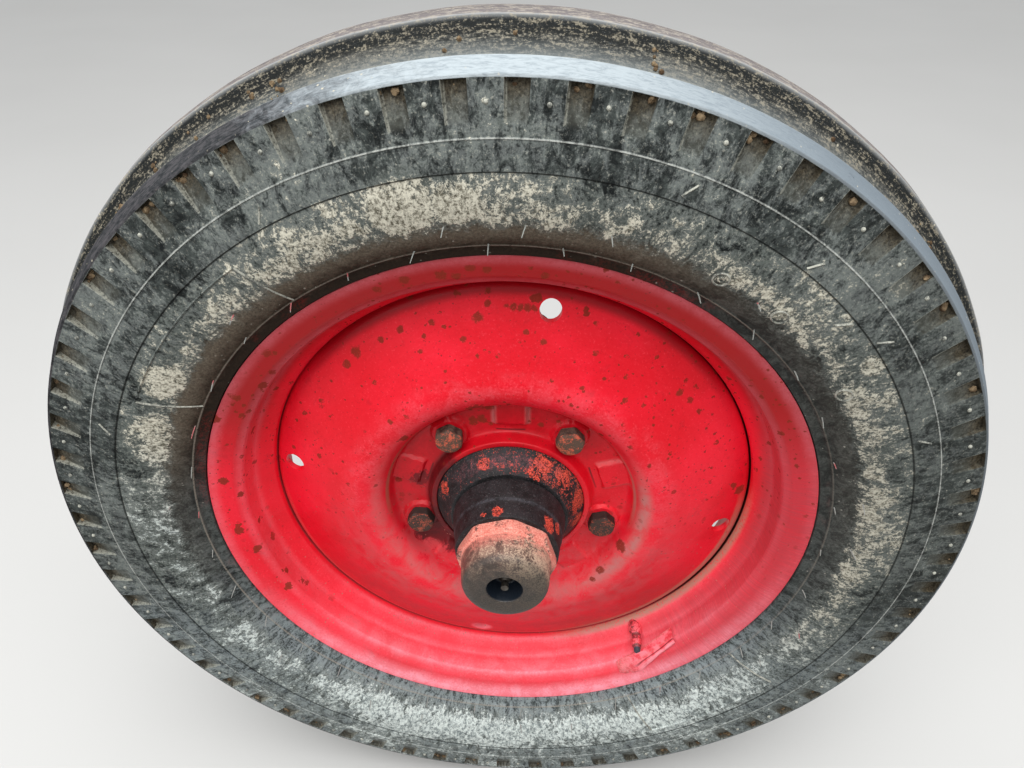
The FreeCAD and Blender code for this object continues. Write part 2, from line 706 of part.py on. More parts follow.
def make_wheel_bolt(number):
    """Hexagon bolt, drawn about its own axis with depth 0 at the bolt face."""
    body = new_body(f"wheel_bolt_{number}")
    head_turn = as_length(HEAD_TURNS[number % len(HEAD_TURNS) - 1])
    head_foot = -S.bolt_seat_rise
    shank_end = S.disc_wall + S.hub_flange + S.bolt_past
    turned(body, f"Shank{number}", [
        (0, head_foot - S.bolt_head / 2),
        (S.bolt_radius, head_foot - S.bolt_head / 2),
        (S.bolt_radius, shank_end),
        (0, shank_end),
    ])
    sketch = new_sketch(body, f"HeadOutline{number}", "XZ_Plane", -head_foot)
    draw_loop(sketch, "c", polygon(6, S.bolt_flats / 2 / cosine(30), head_turn))
    head = body.newObject("PartDesign::Pad", f"Head{number}")
    head.Profile = sketch
    head.setExpression("Length", S.bolt_head.formula)
    turn = S.bolt_turn + as_length((number - 1) * 360) / S.bolt_count
    place(body, S.bolt_circle * cosine(turn), S.bolt_face - S.kingpin_depth,
          S.bolt_circle * sine(turn) - S.axis_drop)
    return body


def make_tyre():
    """Ribbed front tyre: tall centre rib, two shoulder ribs and notched shoulders."""
    body = new_body("tyre")
    rib_edge = S.crown_radius - S.crown_rise
    groove = S.crown_radius - S.groove_drop
    shoulder = S.crown_radius - S.shoulder_drop
    ring_line = shoulder - S.notch_length
    bead_line = S.lip_radius + S.bead_line_rise
    floor = groove - S.tread_base
    groove_inner = S.rib_half + S.rib_foot_width + S.groove_side
    groove_outer = groove_inner + S.groove_floor
    shoulder_inner = groove_outer + S.shoulder_side
    shoulder_edge = shoulder_inner + S.shoulder_rib
    gap = S.bead_gap
    wall = S.rim_wall
    crown_bend = (S.rib_half * S.rib_half + S.crown_rise * S.crown_rise) / (2 * S.crown_rise)
    # the sidewall is one bend through the widest place and the bead line
    widest = (bead_line + ring_line) / 2 + S.bulge_rise
    section_half = shoulder_edge + S.shoulder_overhang
    bead_half = S.tyre_middle + S.bead_overhang
    bulge = section_half - bead_half
    rise = widest - bead_line
    outer_bend = (rise * rise + bulge * bulge) / (2 * bulge)
    inner_bend = outer_bend - S.carcass

    def sidewall(radius, bend):
        """Distance of the sidewall's outer or inner side from the tyre's middle."""
        off = radius - widest
        return section_half - outer_bend + square_root(bend * bend - off * off)

    side_edge = shoulder_edge + S.shoulder_lean
    # one half from the centre rib's edge outwards: radius, distance from the tyre's middle
    tread = (
        (rib_edge, S.rib_half),
        (rib_edge - S.rib_side, S.rib_half + S.rib_foot_width),
        (groove, groove_inner),
        (groove, groove_outer),
        (S.crown_radius - S.shoulder_inner_drop, shoulder_inner),
        (shoulder, shoulder_edge),
        (shoulder - S.shoulder_lip, side_edge),
    )
    # the bead beside the rim: radius, depth
    bead = (
        (S.lip_radius + gap, -gap * 2),
        (S.lip_radius + gap, wall + gap),
        (S.ridge_radius + S.crease_height + wall * 0.47 + gap, S.crease_depth + wall * 0.9 + gap),
        (S.ridge_radius + wall * 0.95 + gap, S.ridge_depth + wall * 0.5 + gap),
        (S.seat_end_radius + wall * 0.95 + gap, S.ridge_depth + S.seat_width + wall * 0.46),
        (S.seat_end_radius + wall + S.bead_height, S.ridge_depth + S.seat_width + wall * 0.46),
    )
    inner_end = bead_line + S.carcass
    belt = (
        (floor - S.belt_drop, shoulder_inner - S.tread_base),
        (floor, groove_inner),
    )
    middle = S.tyre_middle
    outer_arc = ((ring_line, sidewall(ring_line, outer_bend)), (bead_line, bead_half))
    inner_arc = ((inner_end, sidewall(inner_end, inner_bend)), (ring_line, sidewall(ring_line, inner_bend)))
    outline = [(radius, middle - off) for radius, off in tread]
    outline.append((outer_arc[0][0], middle - outer_arc[0][1], outer_bend, "right"))
    outline.append((outer_arc[1][0], middle - outer_arc[1][1]))
    outline += bead
    outline.append((inner_arc[0][0], middle - inner_arc[0][1], inner_bend, "left"))
    outline.append((inner_arc[1][0], middle - inner_arc[1][1]))
    outline += [(radius, middle - off) for radius, off in belt]
    outline += [(radius, middle + off) for radius, off in belt[::-1]]
    outline.append((inner_arc[1][0], middle + inner_arc[1][1], inner_bend, "left"))
    outline.append((inner_arc[0][0], middle + inner_arc[0][1]))
    outline += [(radius, S.rim_width - depth) for radius, depth in bead[::-1]]
    outline.append((outer_arc[1][0], middle + outer_arc[1][1], outer_bend, "right"))
    outline.append((outer_arc[0][0], middle + outer_arc[0][1]))
    inboard_tread = [(radius, middle + off) for radius, off in tread[::-1]]
    inboard_tread[-1] = (*inboard_tread[-1], crown_bend, "right")
    outline += inboard_tread
    turned(body, "Carcass", outline)

    top = shoulder - S.shoulder_lip
    outside = section_half + S.notch_depth
    notch = (
        (outer_arc[0][1] + S.ring_relief, ring_line),
        (side_edge - S.notch_depth, top),
        (outside, top),
        (outside, ring_line),
    )
    sketch = new_sketch(body, "NotchOutline", "YZ_Plane")
    draw_loop(sketch, "o", [(middle - off, height) for off, height in notch])
    draw_loop(sketch, "i", [(middle + off, height) for off, height in notch])
    cut = body.newObject("PartDesign::Pocket", "Notch")
    cut.Profile = sketch
    cut.Type = "Length"
    cut.Midplane = True
    cut.setExpression("Length", S.notch_width.formula)
    round_the_axis(body, "Notches", cut, S.notch_count)
    place_at_wheel(body, S.notch_turn - UPRIGHT)
    return body


def make_valve():
    """Valve stem through the rim, with its cap, drawn about its own axis."""
    body = new_body("valve_stem")
    cap_end = S.valve_tip + S.valve_cap_length
    turned(body, "Stem", [
        (0, S.valve_tip),
        (S.valve_cap_radius, S.valve_tip),
        (S.valve_cap_radius, cap_end),
        (S.valve_radius, cap_end),
        (S.valve_radius, S.valve_inside),
        (0, S.valve_inside),
    ])
    place(body, S.valve_circle * cosine(S.valve_turn), -S.kingpin_depth,
          S.valve_circle * sine(S.valve_turn) - S.axis_drop)
    return body


def make_valve_guard():
    """Bent plate on the bead seat and flange, beside the valve."""
    body = new_body("valve_guard")
    gap = S.bead_gap
    wall = S.guard_wall
    seat_end = S.ridge_depth + S.seat_width * 0.8
    seat_radius = S.ridge_radius - S.seat_drop * 0.8
    flange_radius = S.ridge_radius + S.crease_height
    turned(body, "GuardPlate", [
        (seat_radius - gap, seat_end),
        (seat_radius - gap - wall, seat_end),
        (S.ridge_radius - gap - wall * 1.2, S.ridge_depth - gap - wall * 0.3),
        (flange_radius - gap - wall * 0.6, S.crease_depth - gap - wall),
        (flange_radius - gap * 0.6, S.crease_depth - gap),
        (S.ridge_radius - gap, S.ridge_depth - gap * 0.5),
    ], angle=S.guard_angle)
    place_at_wheel(body, S.guard_turn)
    return body


def make_stub_axle():
    """Forged knuckle: spindle along Y with two journals, and the upright kingpin."""
    body = new_body("stub_axle")
    journal_end = S.inner_bearing_end + S.face_gap
    taper_end = S.inner_bearing_start - S.seat_gap * 10
    outer_start = S.outer_bearing_start - S.seat_gap * 10
    spindle = [
        (0, outer_start - S.thread_length),
        (S.thread_radius, outer_start - S.thread_length),
        (S.thread_radius, outer_start),
        (S.outer_journal, outer_start),
        (S.outer_journal, S.outer_bearing_end + S.seat_gap * 10),
        (S.inner_journal, taper_end),
        (S.inner_journal, journal_end),
        (S.seal_land, journal_end),
        (S.seal_land, S.barrel_end + S.root_clear / 2),
        (S.root_radius, S.barrel_end + S.root_clear * 1.5),
        (S.root_radius, S.kingpin_depth),
        (0, S.kingpin_depth),
    ]
    outline = [(radius, depth - S.kingpin_depth) for radius, depth in spindle]
    turned(body, "Spindle", outline, offset=-S.axis_drop)
    foot = -S.axis_drop - S.root_radius - S.elbow_foot
    land = S.kingpin_radius + S.washer_land
    arm_seat_radius = S.kingpin_radius - S.arm_step
    thread = arm_seat_radius - S.kingpin_thread_step
    seat = -S.washer_height
    chamfer = S.elbow_chamfer
    arm_seat = S.kingpin_length + S.arm_seat_length
    thread_end = arm_seat + S.kingpin_thread_length
    turned(body, "Kingpin", [
        (0, foot),
        (S.elbow_radius - chamfer, foot),
        (S.elbow_radius, foot + chamfer),
        (S.elbow_radius, seat - chamfer),
        (S.washer_radius, seat),
        (land, seat),
        (land, 0),
        (S.kingpin_radius, 0),
        (S.kingpin_radius, S.kingpin_length),
        (arm_seat_radius, S.kingpin_length),
        (arm_seat_radius, arm_seat),
        (thread, arm_seat),
        (thread, thread_end),
        (0, thread_end),
    ], plane="XZ_Plane")
    return body


def make_thrust_washer():
    body = new_body("thrust_washer")
    turned(body, "ThrustWasher", [
        (S.washer_bore, -S.washer_height),
        (S.washer_radius, -S.washer_height),
        (S.washer_radius, 0),
        (S.washer_bore, 0),
    ], plane="XZ_Plane")
    return body


def write_parts(bodies):
    """Stop on anything that failed, then write one file for each piece."""
    for item in DOC.Objects:
        if "Invalid" in item.State or "Error" in item.State:
            raise RuntimeError(f"{item.Label} failed: {item.State}")
    os.makedirs("parts", exist_ok=True)
    for body in bodies:
        if body.Shape.isNull() or not body.Shape.isValid():
            raise RuntimeError(f"{body.Label} has no valid shape")
        body.Shape.exportStep(f"parts/{body.Label}.step")
        print(f"{body.Label}: {len(body.Shape.Solids)} solid, {body.Shape.Volume / 1000:.1f} cm3")


S = fill_sheet()
derived_sizes()
BODIES = [
    make_tyre(),
    make_rim(),
    make_disc(),
    make_hub(),
    make_hub_cap(),
    make_grease_nipple(),
    *(make_wheel_bolt(number + 1) for number in range(int(S.bolt_count.value))),
    *make_bearings_and_seal(),
    make_valve(),
    make_valve_guard(),
    make_stub_axle(),
    make_thrust_washer(),
]
DOC.recompute()
write_parts(BODIES)
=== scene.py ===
"""Front wheel of a farm tractor on its stub axle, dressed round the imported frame.

Wheel pieces are drawn in millimetres: by radius from the wheel's axis, by depth, which is counted
inboard from the plane of the rim's outer lip, and by angle in degrees from +X towards +Z.
"""

import math
import random

import bmesh
import bpy
import numpy as np
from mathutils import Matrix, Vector
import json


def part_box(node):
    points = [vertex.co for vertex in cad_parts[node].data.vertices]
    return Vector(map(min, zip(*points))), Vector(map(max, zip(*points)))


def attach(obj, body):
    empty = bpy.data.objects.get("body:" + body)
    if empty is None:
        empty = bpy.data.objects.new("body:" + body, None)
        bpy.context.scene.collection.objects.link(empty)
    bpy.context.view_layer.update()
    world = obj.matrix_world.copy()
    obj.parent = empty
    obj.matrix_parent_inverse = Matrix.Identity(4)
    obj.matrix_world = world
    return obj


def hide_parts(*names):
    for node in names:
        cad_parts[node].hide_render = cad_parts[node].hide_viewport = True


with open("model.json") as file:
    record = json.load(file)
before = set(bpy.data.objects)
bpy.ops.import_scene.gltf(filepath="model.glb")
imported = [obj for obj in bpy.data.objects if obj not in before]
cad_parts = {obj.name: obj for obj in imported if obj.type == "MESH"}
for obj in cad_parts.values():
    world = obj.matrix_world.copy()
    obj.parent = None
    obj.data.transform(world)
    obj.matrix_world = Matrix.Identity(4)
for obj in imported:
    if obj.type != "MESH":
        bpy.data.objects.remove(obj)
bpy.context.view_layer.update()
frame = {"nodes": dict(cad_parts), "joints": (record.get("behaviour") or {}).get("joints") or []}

# driving dimensions, read from the frame
MM = 0.001
AXIS = Vector(frame["joints"][0]["pos_m"])
RIM_LOW, RIM_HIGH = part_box("rim")
TYRE_LOW, TYRE_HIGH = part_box("tyre")
LIP_PLANE = RIM_LOW.y
LIP_RADIUS = (RIM_HIGH.x - AXIS.x) / MM
RIM_WIDTH = (RIM_HIGH.y - RIM_LOW.y) / MM
CROWN_RADIUS = (TYRE_HIGH.x - AXIS.x) / MM
MIDDLE = RIM_WIDTH / 2
FLOOR = TYRE_LOW.z
WHEEL_ORIGIN = Vector((AXIS.x, LIP_PLANE, AXIS.z))
HAND_HOLE_RADIUS = LIP_RADIUS - 54.0

# the tyre's outline: radii, and distances from the tyre's middle
CROWN_DROP = 1.2
RIB_EDGE = 13.0
RIB_FOOT = RIB_EDGE + 3.5
GROOVE_INNER = RIB_FOOT + 9.5
GROOVE_OUTER = GROOVE_INNER + 12.0
SHOULDER_INNER = GROOVE_OUTER + 9.5
SHOULDER_EDGE = SHOULDER_INNER + 14.0
NOTCH_TOP_OFF = SHOULDER_EDGE + 0.4
RIB_SIDE_END = CROWN_RADIUS - CROWN_DROP - 9.0
GROOVE_FLOOR = CROWN_RADIUS - 22.4
SHOULDER_TOP = CROWN_RADIUS - 13.4
SHOULDER_RADIUS = CROWN_RADIUS - 19.4
NOTCH_TOP = SHOULDER_RADIUS - 1.6
RING_LINE = SHOULDER_RADIUS - 30.0
STEP_LINE = RING_LINE - 17.0
BEAD_LINE = LIP_RADIUS + 6.0
WIDEST = (BEAD_LINE + RING_LINE) / 2 + 14.5
WIDEST_OFF = SHOULDER_EDGE + 7.0
SIDE_BEND = 80.0
SIDE_WALL = 8.0
NOTCHES = 64
PITCH = 360 / NOTCHES
NOTCH_TURN = 89.0
NOTCH_WIDTH = 12.0
NOTCH_DEPTH = 5.0


def tone(red, green, blue):
    """A colour as it looks on a screen, 0 to 255 a channel, as the linear value that a shader takes."""
    def linear(level):
        share = level / 255
        return share / 12.92 if share <= 0.04045 else ((share + 0.055) / 1.055) ** 2.4
    return (linear(red), linear(green), linear(blue), 1.0)


def at(radius, depth, angle):
    """Point of the row's frame for a place on the wheel."""
    turn = math.radians(angle)
    across = radius * math.cos(turn)
    up = radius * math.sin(turn)
    return WHEEL_ORIGIN + Vector((across, depth, up)) * MM


# Meshes

def grid_faces(rows, columns, wrap_rows, wrap_columns=True):
    row = np.arange(rows if wrap_rows else rows - 1)
    column = np.arange(columns if wrap_columns else columns - 1)
    row, column = np.meshgrid(row, column, indexing="ij")
    next_row = (row + 1) % rows
    next_column = (column + 1) % columns
    corners = (
        row * columns + column,
        row * columns + next_column,
        next_row * columns + next_column,
        next_row * columns + column,
    )
    return np.stack(corners, axis=-1).reshape(-1, 4).tolist()


class Pile:
    """Points and faces of one or many forms that become one mesh."""

    def __init__(self):
        self.points = []
        self.faces = []
        self.values = {}

    def add(self, points, faces):
        base = len(self.points)
        self.points.extend(tuple(point) for point in points)
        self.faces.extend(tuple(base + corner for corner in face) for face in faces)

    def add_grid(self, rings, wrap_rows=False, capped=True):
        """Rings of points in the row's frame, each ring closed, the first and last capped."""
        columns = len(rings[0])
        faces = grid_faces(len(rings), columns, wrap_rows)
        if capped and not wrap_rows:
            last = (len(rings) - 1) * columns
            faces.append(tuple(range(columns)))
            faces.append(tuple(range(last, last + columns)))
        self.add([point for ring in rings for point in ring], faces)

    def mesh(self, name):
        mesh = bpy.data.meshes.new(name)
        mesh.from_pydata(self.points, [], self.faces)
        work = bmesh.new()
        work.from_mesh(mesh)
        bmesh.ops.recalc_face_normals(work, faces=work.faces)
        work.to_mesh(mesh)
        work.free()
        return mesh

    def make(self, name, material, body="wheel", replaces=(), sharp=35, holes=None):
        mesh = self.mesh(name)
        if holes is not None:
            mesh = bored(mesh, holes.mesh("holes"))
        mesh.shade_smooth()
        mesh.set_sharp_from_angle(angle=math.radians(sharp))
        for title, values in self.values.items():
            layer = mesh.attributes.new(title, "FLOAT", "POINT")
            layer.data.foreach_set("value", np.asarray(values, np.float32))
        mesh.materials.append(material)
        piece = bpy.data.objects.new(name, mesh)
        bpy.context.scene.collection.objects.link(piece)
        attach(piece, body)
        if replaces:
            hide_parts(*replaces)
        return piece


def bored(mesh, holes):
    """The mesh with the forms of another mesh cut out of it."""
    solid, tool = (bpy.data.objects.new(data.name, data) for data in (mesh, holes))
    for thing in (solid, tool):
        bpy.context.scene.collection.objects.link(thing)
    cut = solid.modifiers.new("holes", "BOOLEAN")
    cut.operation = "DIFFERENCE"
    cut.solver = "EXACT"
    cut.object = tool
    found = bpy.data.meshes.new_from_object(solid.evaluated_get(bpy.context.evaluated_depsgraph_get()))
    found.name = mesh.name
    found.materials.clear()
    for thing in (solid, tool):
        bpy.data.objects.remove(thing)
    return found


def bent(corners, step=6.0, arc_points=5):
    """Points along (radius, depth, bend) corners: bends rounded, straight runs cut into steps."""
    arcs = []
    for index, (radius, depth, bend) in enumerate(corners):
        here = Vector((radius, depth))
        if bend and 0 < index < len(corners) - 1:
            before = Vector(corners[index - 1][:2]) - here
            after = Vector(corners[index + 1][:2]) - here
            half = before.angle(after) / 2
            reach = min(bend / math.tan(half), before.length * 0.49, after.length * 0.49)
            start = here + before.normalized() * reach
            end = here + after.normalized() * reach
            shares = [k / (arc_points - 1) for k in range(arc_points)]
            arcs.append([start.lerp(here, t).lerp(here.lerp(end, t), t) for t in shares])
        else:
            arcs.append([here])
    points = list(arcs[0])
    for arc in arcs[1:]:
        last = points[-1]
        cuts = max(1, round((arc[0] - last).length / step))
        points.extend(last.lerp(arc[0], k / cuts) for k in range(1, cuts))
        points.extend(arc)
    return np.array([(point.x, point.y) for point in points])


def wheel_rings(radii, depths, angles, centre=(0.0, 0.0)):
    """Rings of points about an axis along Y. radii and depths are by row, or by row and column."""
    turn = np.radians(np.asarray(angles, float))
    shape = (len(radii), len(turn))
    radii = np.asarray(radii, float)
    depths = np.asarray(depths, float)
    radii = np.broadcast_to(radii if radii.ndim == 2 else radii[:, None], shape)
    depths = np.broadcast_to(depths if depths.ndim == 2 else depths[:, None], shape)
    across = centre[0] + radii * np.cos(turn)
    up = centre[1] + radii * np.sin(turn)
    points = np.stack([across, depths, up], axis=-1) * MM
    return points + np.array(WHEEL_ORIGIN)


def evenly(count):
    return np.arange(count) * (360 / count)


def waver(angles, seed, waves=(2, 5, 9, 17, 31)):
    """Uneven wave round the wheel, about -1 to 1, that closes on itself."""
    chance = random.Random(seed)
    turn = np.radians(np.asarray(angles, float))
    total = sum(np.sin(count * turn + chance.uniform(0, 2 * math.pi)) for count in waves)
    return total / math.sqrt(len(waves) * 1.5)


# Shaders

COLOUR_A, COLOUR_B, COLOUR_RESULT = 6, 7, 2
# features in a millimetre past which noise can't be seen
FINEST = 2.0


def octaves(scale, detail, roughness):
    """How many of a noise's octaves can be seen, and their share of its whole swing."""
    seen = min(detail, max(1, math.ceil(math.log2(FINEST / scale))))
    swings = [sum(roughness ** octave for octave in range(count + 1)) for count in (seen, detail)]
    return seen, swings[0] / swings[1]


class Shader:
    """A material whose node graph is written as sums of its sockets."""

    def __init__(self, name):
        self.material = bpy.data.materials.new(name)
        self.material.use_nodes = True
        self.tree = self.material.node_tree
        self.surface = self.tree.nodes["Principled BSDF"]
        self.coordinates = self.node("ShaderNodeTexCoord").outputs["Object"]
        self.place = self.in_millimetres(Vector((0, 0, 0)))

    def node(self, kind, inputs=(), **settings):
        made = self.tree.nodes.new(kind)
        for name, value in settings.items():
            setattr(made, name, value)
        for key, value in dict(inputs).items():
            self.feed(made.inputs[key], value)
        return made

    def feed(self, socket, value):
        if isinstance(value, bpy.types.NodeSocket):
            self.tree.links.new(value, socket)
        else:
            socket.default_value = value

    def maths(self, operation, *values, clamp=False):
        return self.node("ShaderNodeMath", enumerate(values), operation=operation, use_clamp=clamp).outputs[0]

    def vector(self, operation, *values):
        return self.node("ShaderNodeVectorMath", enumerate(values), operation=operation).outputs[0]

    def in_millimetres(self, origin):
        moved = self.vector("SUBTRACT", self.coordinates, tuple(origin))
        return self.vector("MULTIPLY", moved, (1000, 1000, 1000))

    def add(self, *values):
        total = values[0]
        for value in values[1:]:
            total = self.maths("ADD", total, value)
        return total

    def times(self, *values):
        total = values[0]
        for value in values[1:]:
            total = self.maths("MULTIPLY", total, value)
        return total

    def rise(self, value, low, high, to_low=0.0, to_high=1.0):
        """Smooth step of a value from low to high; low may be the greater."""
        inputs = {"Value": value, "From Min": low, "From Max": high, "To Min": to_low, "To Max": to_high}
        return self.node("ShaderNodeMapRange", inputs, interpolation_type="SMOOTHSTEP").outputs[0]

    def band(self, value, low, high, soft):
        """1 between low and high, 0 outside, with soft edges."""
        up = self.rise(value, low - soft, low + soft)
        down = self.rise(value, high + soft, high - soft)
        return self.times(up, down)

    def levels(self, value, stops):
        """Value read off a line through (place, level) stops."""
        low = stops[0][0]
        high = stops[-1][0]
        share = self.maths("DIVIDE", self.maths("SUBTRACT", value, low), high - low, clamp=True)
        ramp = self.node("ShaderNodeValToRGB", {0: share})
        self.fill_ramp(ramp, [((stop - low) / (high - low), (level, level, level, 1)) for stop, level in stops])
        return ramp.outputs["Color"]

    def colours(self, value, stops):
        """Colour read off a line through (place, colour) stops."""
        low = stops[0][0]
        high = stops[-1][0]
        share = self.maths("DIVIDE", self.maths("SUBTRACT", value, low), high - low, clamp=True)
        ramp = self.node("ShaderNodeValToRGB", {0: share})
        self.fill_ramp(ramp, [((stop - low) / (high - low), colour) for stop, colour in stops])
        return ramp.outputs["Color"]

    def fill_ramp(self, ramp, stops):
        elements = ramp.color_ramp.elements
        while len(elements) < len(stops):
            elements.new(1.0)
        for element, (share, colour) in zip(elements, stops):
            element.position = share
            element.color = colour

    def noise(self, place, scale, detail=4, roughness=0.6, distortion=0.0):
        """Noise from 0 to 1. scale is the number of features in a millimetre.

        Octaves finer than the eye can see are left out, and the others keep their swing.
        """
        seen, swing = octaves(scale, detail, roughness)
        inputs = {"Vector": place, "Scale": scale, "Detail": seen, "Roughness": roughness, "Distortion": distortion}
        made = self.node("ShaderNodeTexNoise", inputs).outputs["Fac"]
        return self.maths("MULTIPLY_ADD", made, swing, 0.5 - 0.5 * swing)

    def cells(self, place, scale, feature="F1"):
        """Distance from the nearest of scattered points, and a random number for each."""
        made = self.node("ShaderNodeTexVoronoi", {"Vector": place, "Scale": scale}, feature=feature)
        chance = self.node("ShaderNodeSeparateColor", {0: made.outputs["Color"]}).outputs[0]
        return made.outputs["Distance"], chance

    def specks(self, place, scale, share, size):
        """Scattered ragged specks: a share of the cells has one, up to size of a cell's width."""
        seen, swing = octaves(scale * 4, 3, 0.5)
        made = self.node("ShaderNodeTexNoise", {"Vector": place, "Scale": scale * 4, "Detail": seen})
        shift = self.vector("SUBTRACT", made.outputs["Color"], (0.5, 0.5, 0.5))
        reach = size * 1.6 / scale * swing
        distance, chance = self.cells(self.vector("ADD", place, self.vector("MULTIPLY", shift, (reach,) * 3)), scale)
        reach = self.rise(chance, 1 - share, 1.0, 0.0, size)
        return self.rise(self.maths("SUBTRACT", distance, reach), 0.03, -0.02)

    def mix(self, share, first, second):
        made = self.node("ShaderNodeMix", {0: share, COLOUR_A: first, COLOUR_B: second}, data_type="RGBA")
        return made.outputs[COLOUR_RESULT]

    def bump(self, height, distance, below=None):
        inputs = {"Height": height, "Distance": distance * MM, "Strength": 1.0}
        if below is not None:
            inputs["Normal"] = below
        return self.node("ShaderNodeBump", inputs).outputs["Normal"]

    def finish(self, colour, roughness, normal, metallic=0.0, specular=0.5):
        self.feed(self.surface.inputs["Base Color"], colour)
        self.feed(self.surface.inputs["Roughness"], roughness)
        self.feed(self.surface.inputs["Normal"], normal)
        self.feed(self.surface.inputs["Metallic"], metallic)
        self.feed(self.surface.inputs["Specular IOR Level"], specular)
        return self.material


class WheelShader(Shader):
    """A shader that knows its place on the wheel: radius, depth, height and way from the axis."""

    def __init__(self, name):
        super().__init__(name)
        self.place = self.in_millimetres(WHEEL_ORIGIN)
        parts = self.node("ShaderNodeSeparateXYZ", {0: self.place}).outputs
        self.across, self.depth, self.height = parts[0], parts[1], parts[2]
        flat = self.vector("MULTIPLY", self.place, (1, 0, 1))
        self.radius = self.node("ShaderNodeVectorMath", {0: flat}, operation="LENGTH").outputs["Value"]
        self.way = self.vector("NORMALIZE", flat)

    def polar(self, around, outward, inboard=0.0):
        """Place to sample noise at, with its own stretch round, away from and along the axis."""
        ring = self.vector("MULTIPLY", self.way, (around, around, around))
        lift = self.add(self.times(self.radius, outward), self.times(self.depth, inboard))
        return self.vector("ADD", ring, self.node("ShaderNodeCombineXYZ", {1: lift}).outputs[0])

    def spots(self, places, ragged=None):
        """1 within any of several places, each (radius, depth, angle, size), with edges made ragged by noise."""
        nearest = None
        for radius, depth, angle, size in places:
            turn = math.radians(angle)
            centre = (radius * math.cos(turn), depth, radius * math.sin(turn))
            away = self.node("ShaderNodeVectorMath", {0: self.place, 1: centre}, operation="DISTANCE").outputs["Value"]
            away = self.times(away, 1 / size)
            nearest = away if nearest is None else self.maths("MINIMUM", nearest, away)
        if ragged is not None:
            nearest = self.add(nearest, self.times(self.maths("SUBTRACT", ragged, 0.5), 2.4))
        return self.rise(nearest, 1.1, 0.7)


# Materials

# distance from the tyre's middle, and the rubber's colour there, with painted shade making the centre rib's steep side
# walls near black
TREAD_TONES_AND_SHADE = (
    (0.0, tone(106, 100, 100)),
    (RIB_EDGE - 2.0, tone(118, 112, 112)),
    (RIB_EDGE - 0.3, tone(150, 152, 152)),
    (RIB_EDGE + 0.9, tone(36, 38, 38)),
    (RIB_FOOT + 1.0, tone(38, 39, 38)),
    (GROOVE_INNER - 4.0, tone(88, 92, 92)),
    (GROOVE_OUTER - 6.0, tone(160, 167, 168)),
    (SHOULDER_INNER - 5.5, tone(162, 166, 165)),
    (SHOULDER_INNER - 1.0, tone(164, 167, 164)),
    (SHOULDER_INNER + 0.6, tone(106, 116, 124)),
    (SHOULDER_EDGE - 0.7, tone(114, 124, 132)),
    (SHOULDER_EDGE + 0.6, tone(92, 96, 98)),
)
# radius, and how much of the dried mud stays there
SIDE_DUST = (
    (226.0, 0.0),
    (233.0, 0.3),
    (240.0, 0.75),
    (246.0, 1.15),
    (256.0, 1.2),
    (264.0, 0.95),
    (STEP_LINE - 0.6, 0.85),
    (STEP_LINE + 1.0, 0.5),
    (RING_LINE - 1.5, 0.55),
    (RING_LINE + 1.5, 0.6),
    (310.0, 0.5),
    (323.0, 0.45),
)
# smears of mud on the sidewall: radius, depth, angle, size
MUD_SMEARS = (
    (267.0, -16.0, 102.0, 20.0),
    (262.0, -15.0, 96.0, 14.0),
    (272.5, -17.0, 37.0, 9.0),
    (256.0, -14.0, 160.0, 22.0),
    (258.0, -14.0, 148.0, 16.0),
)


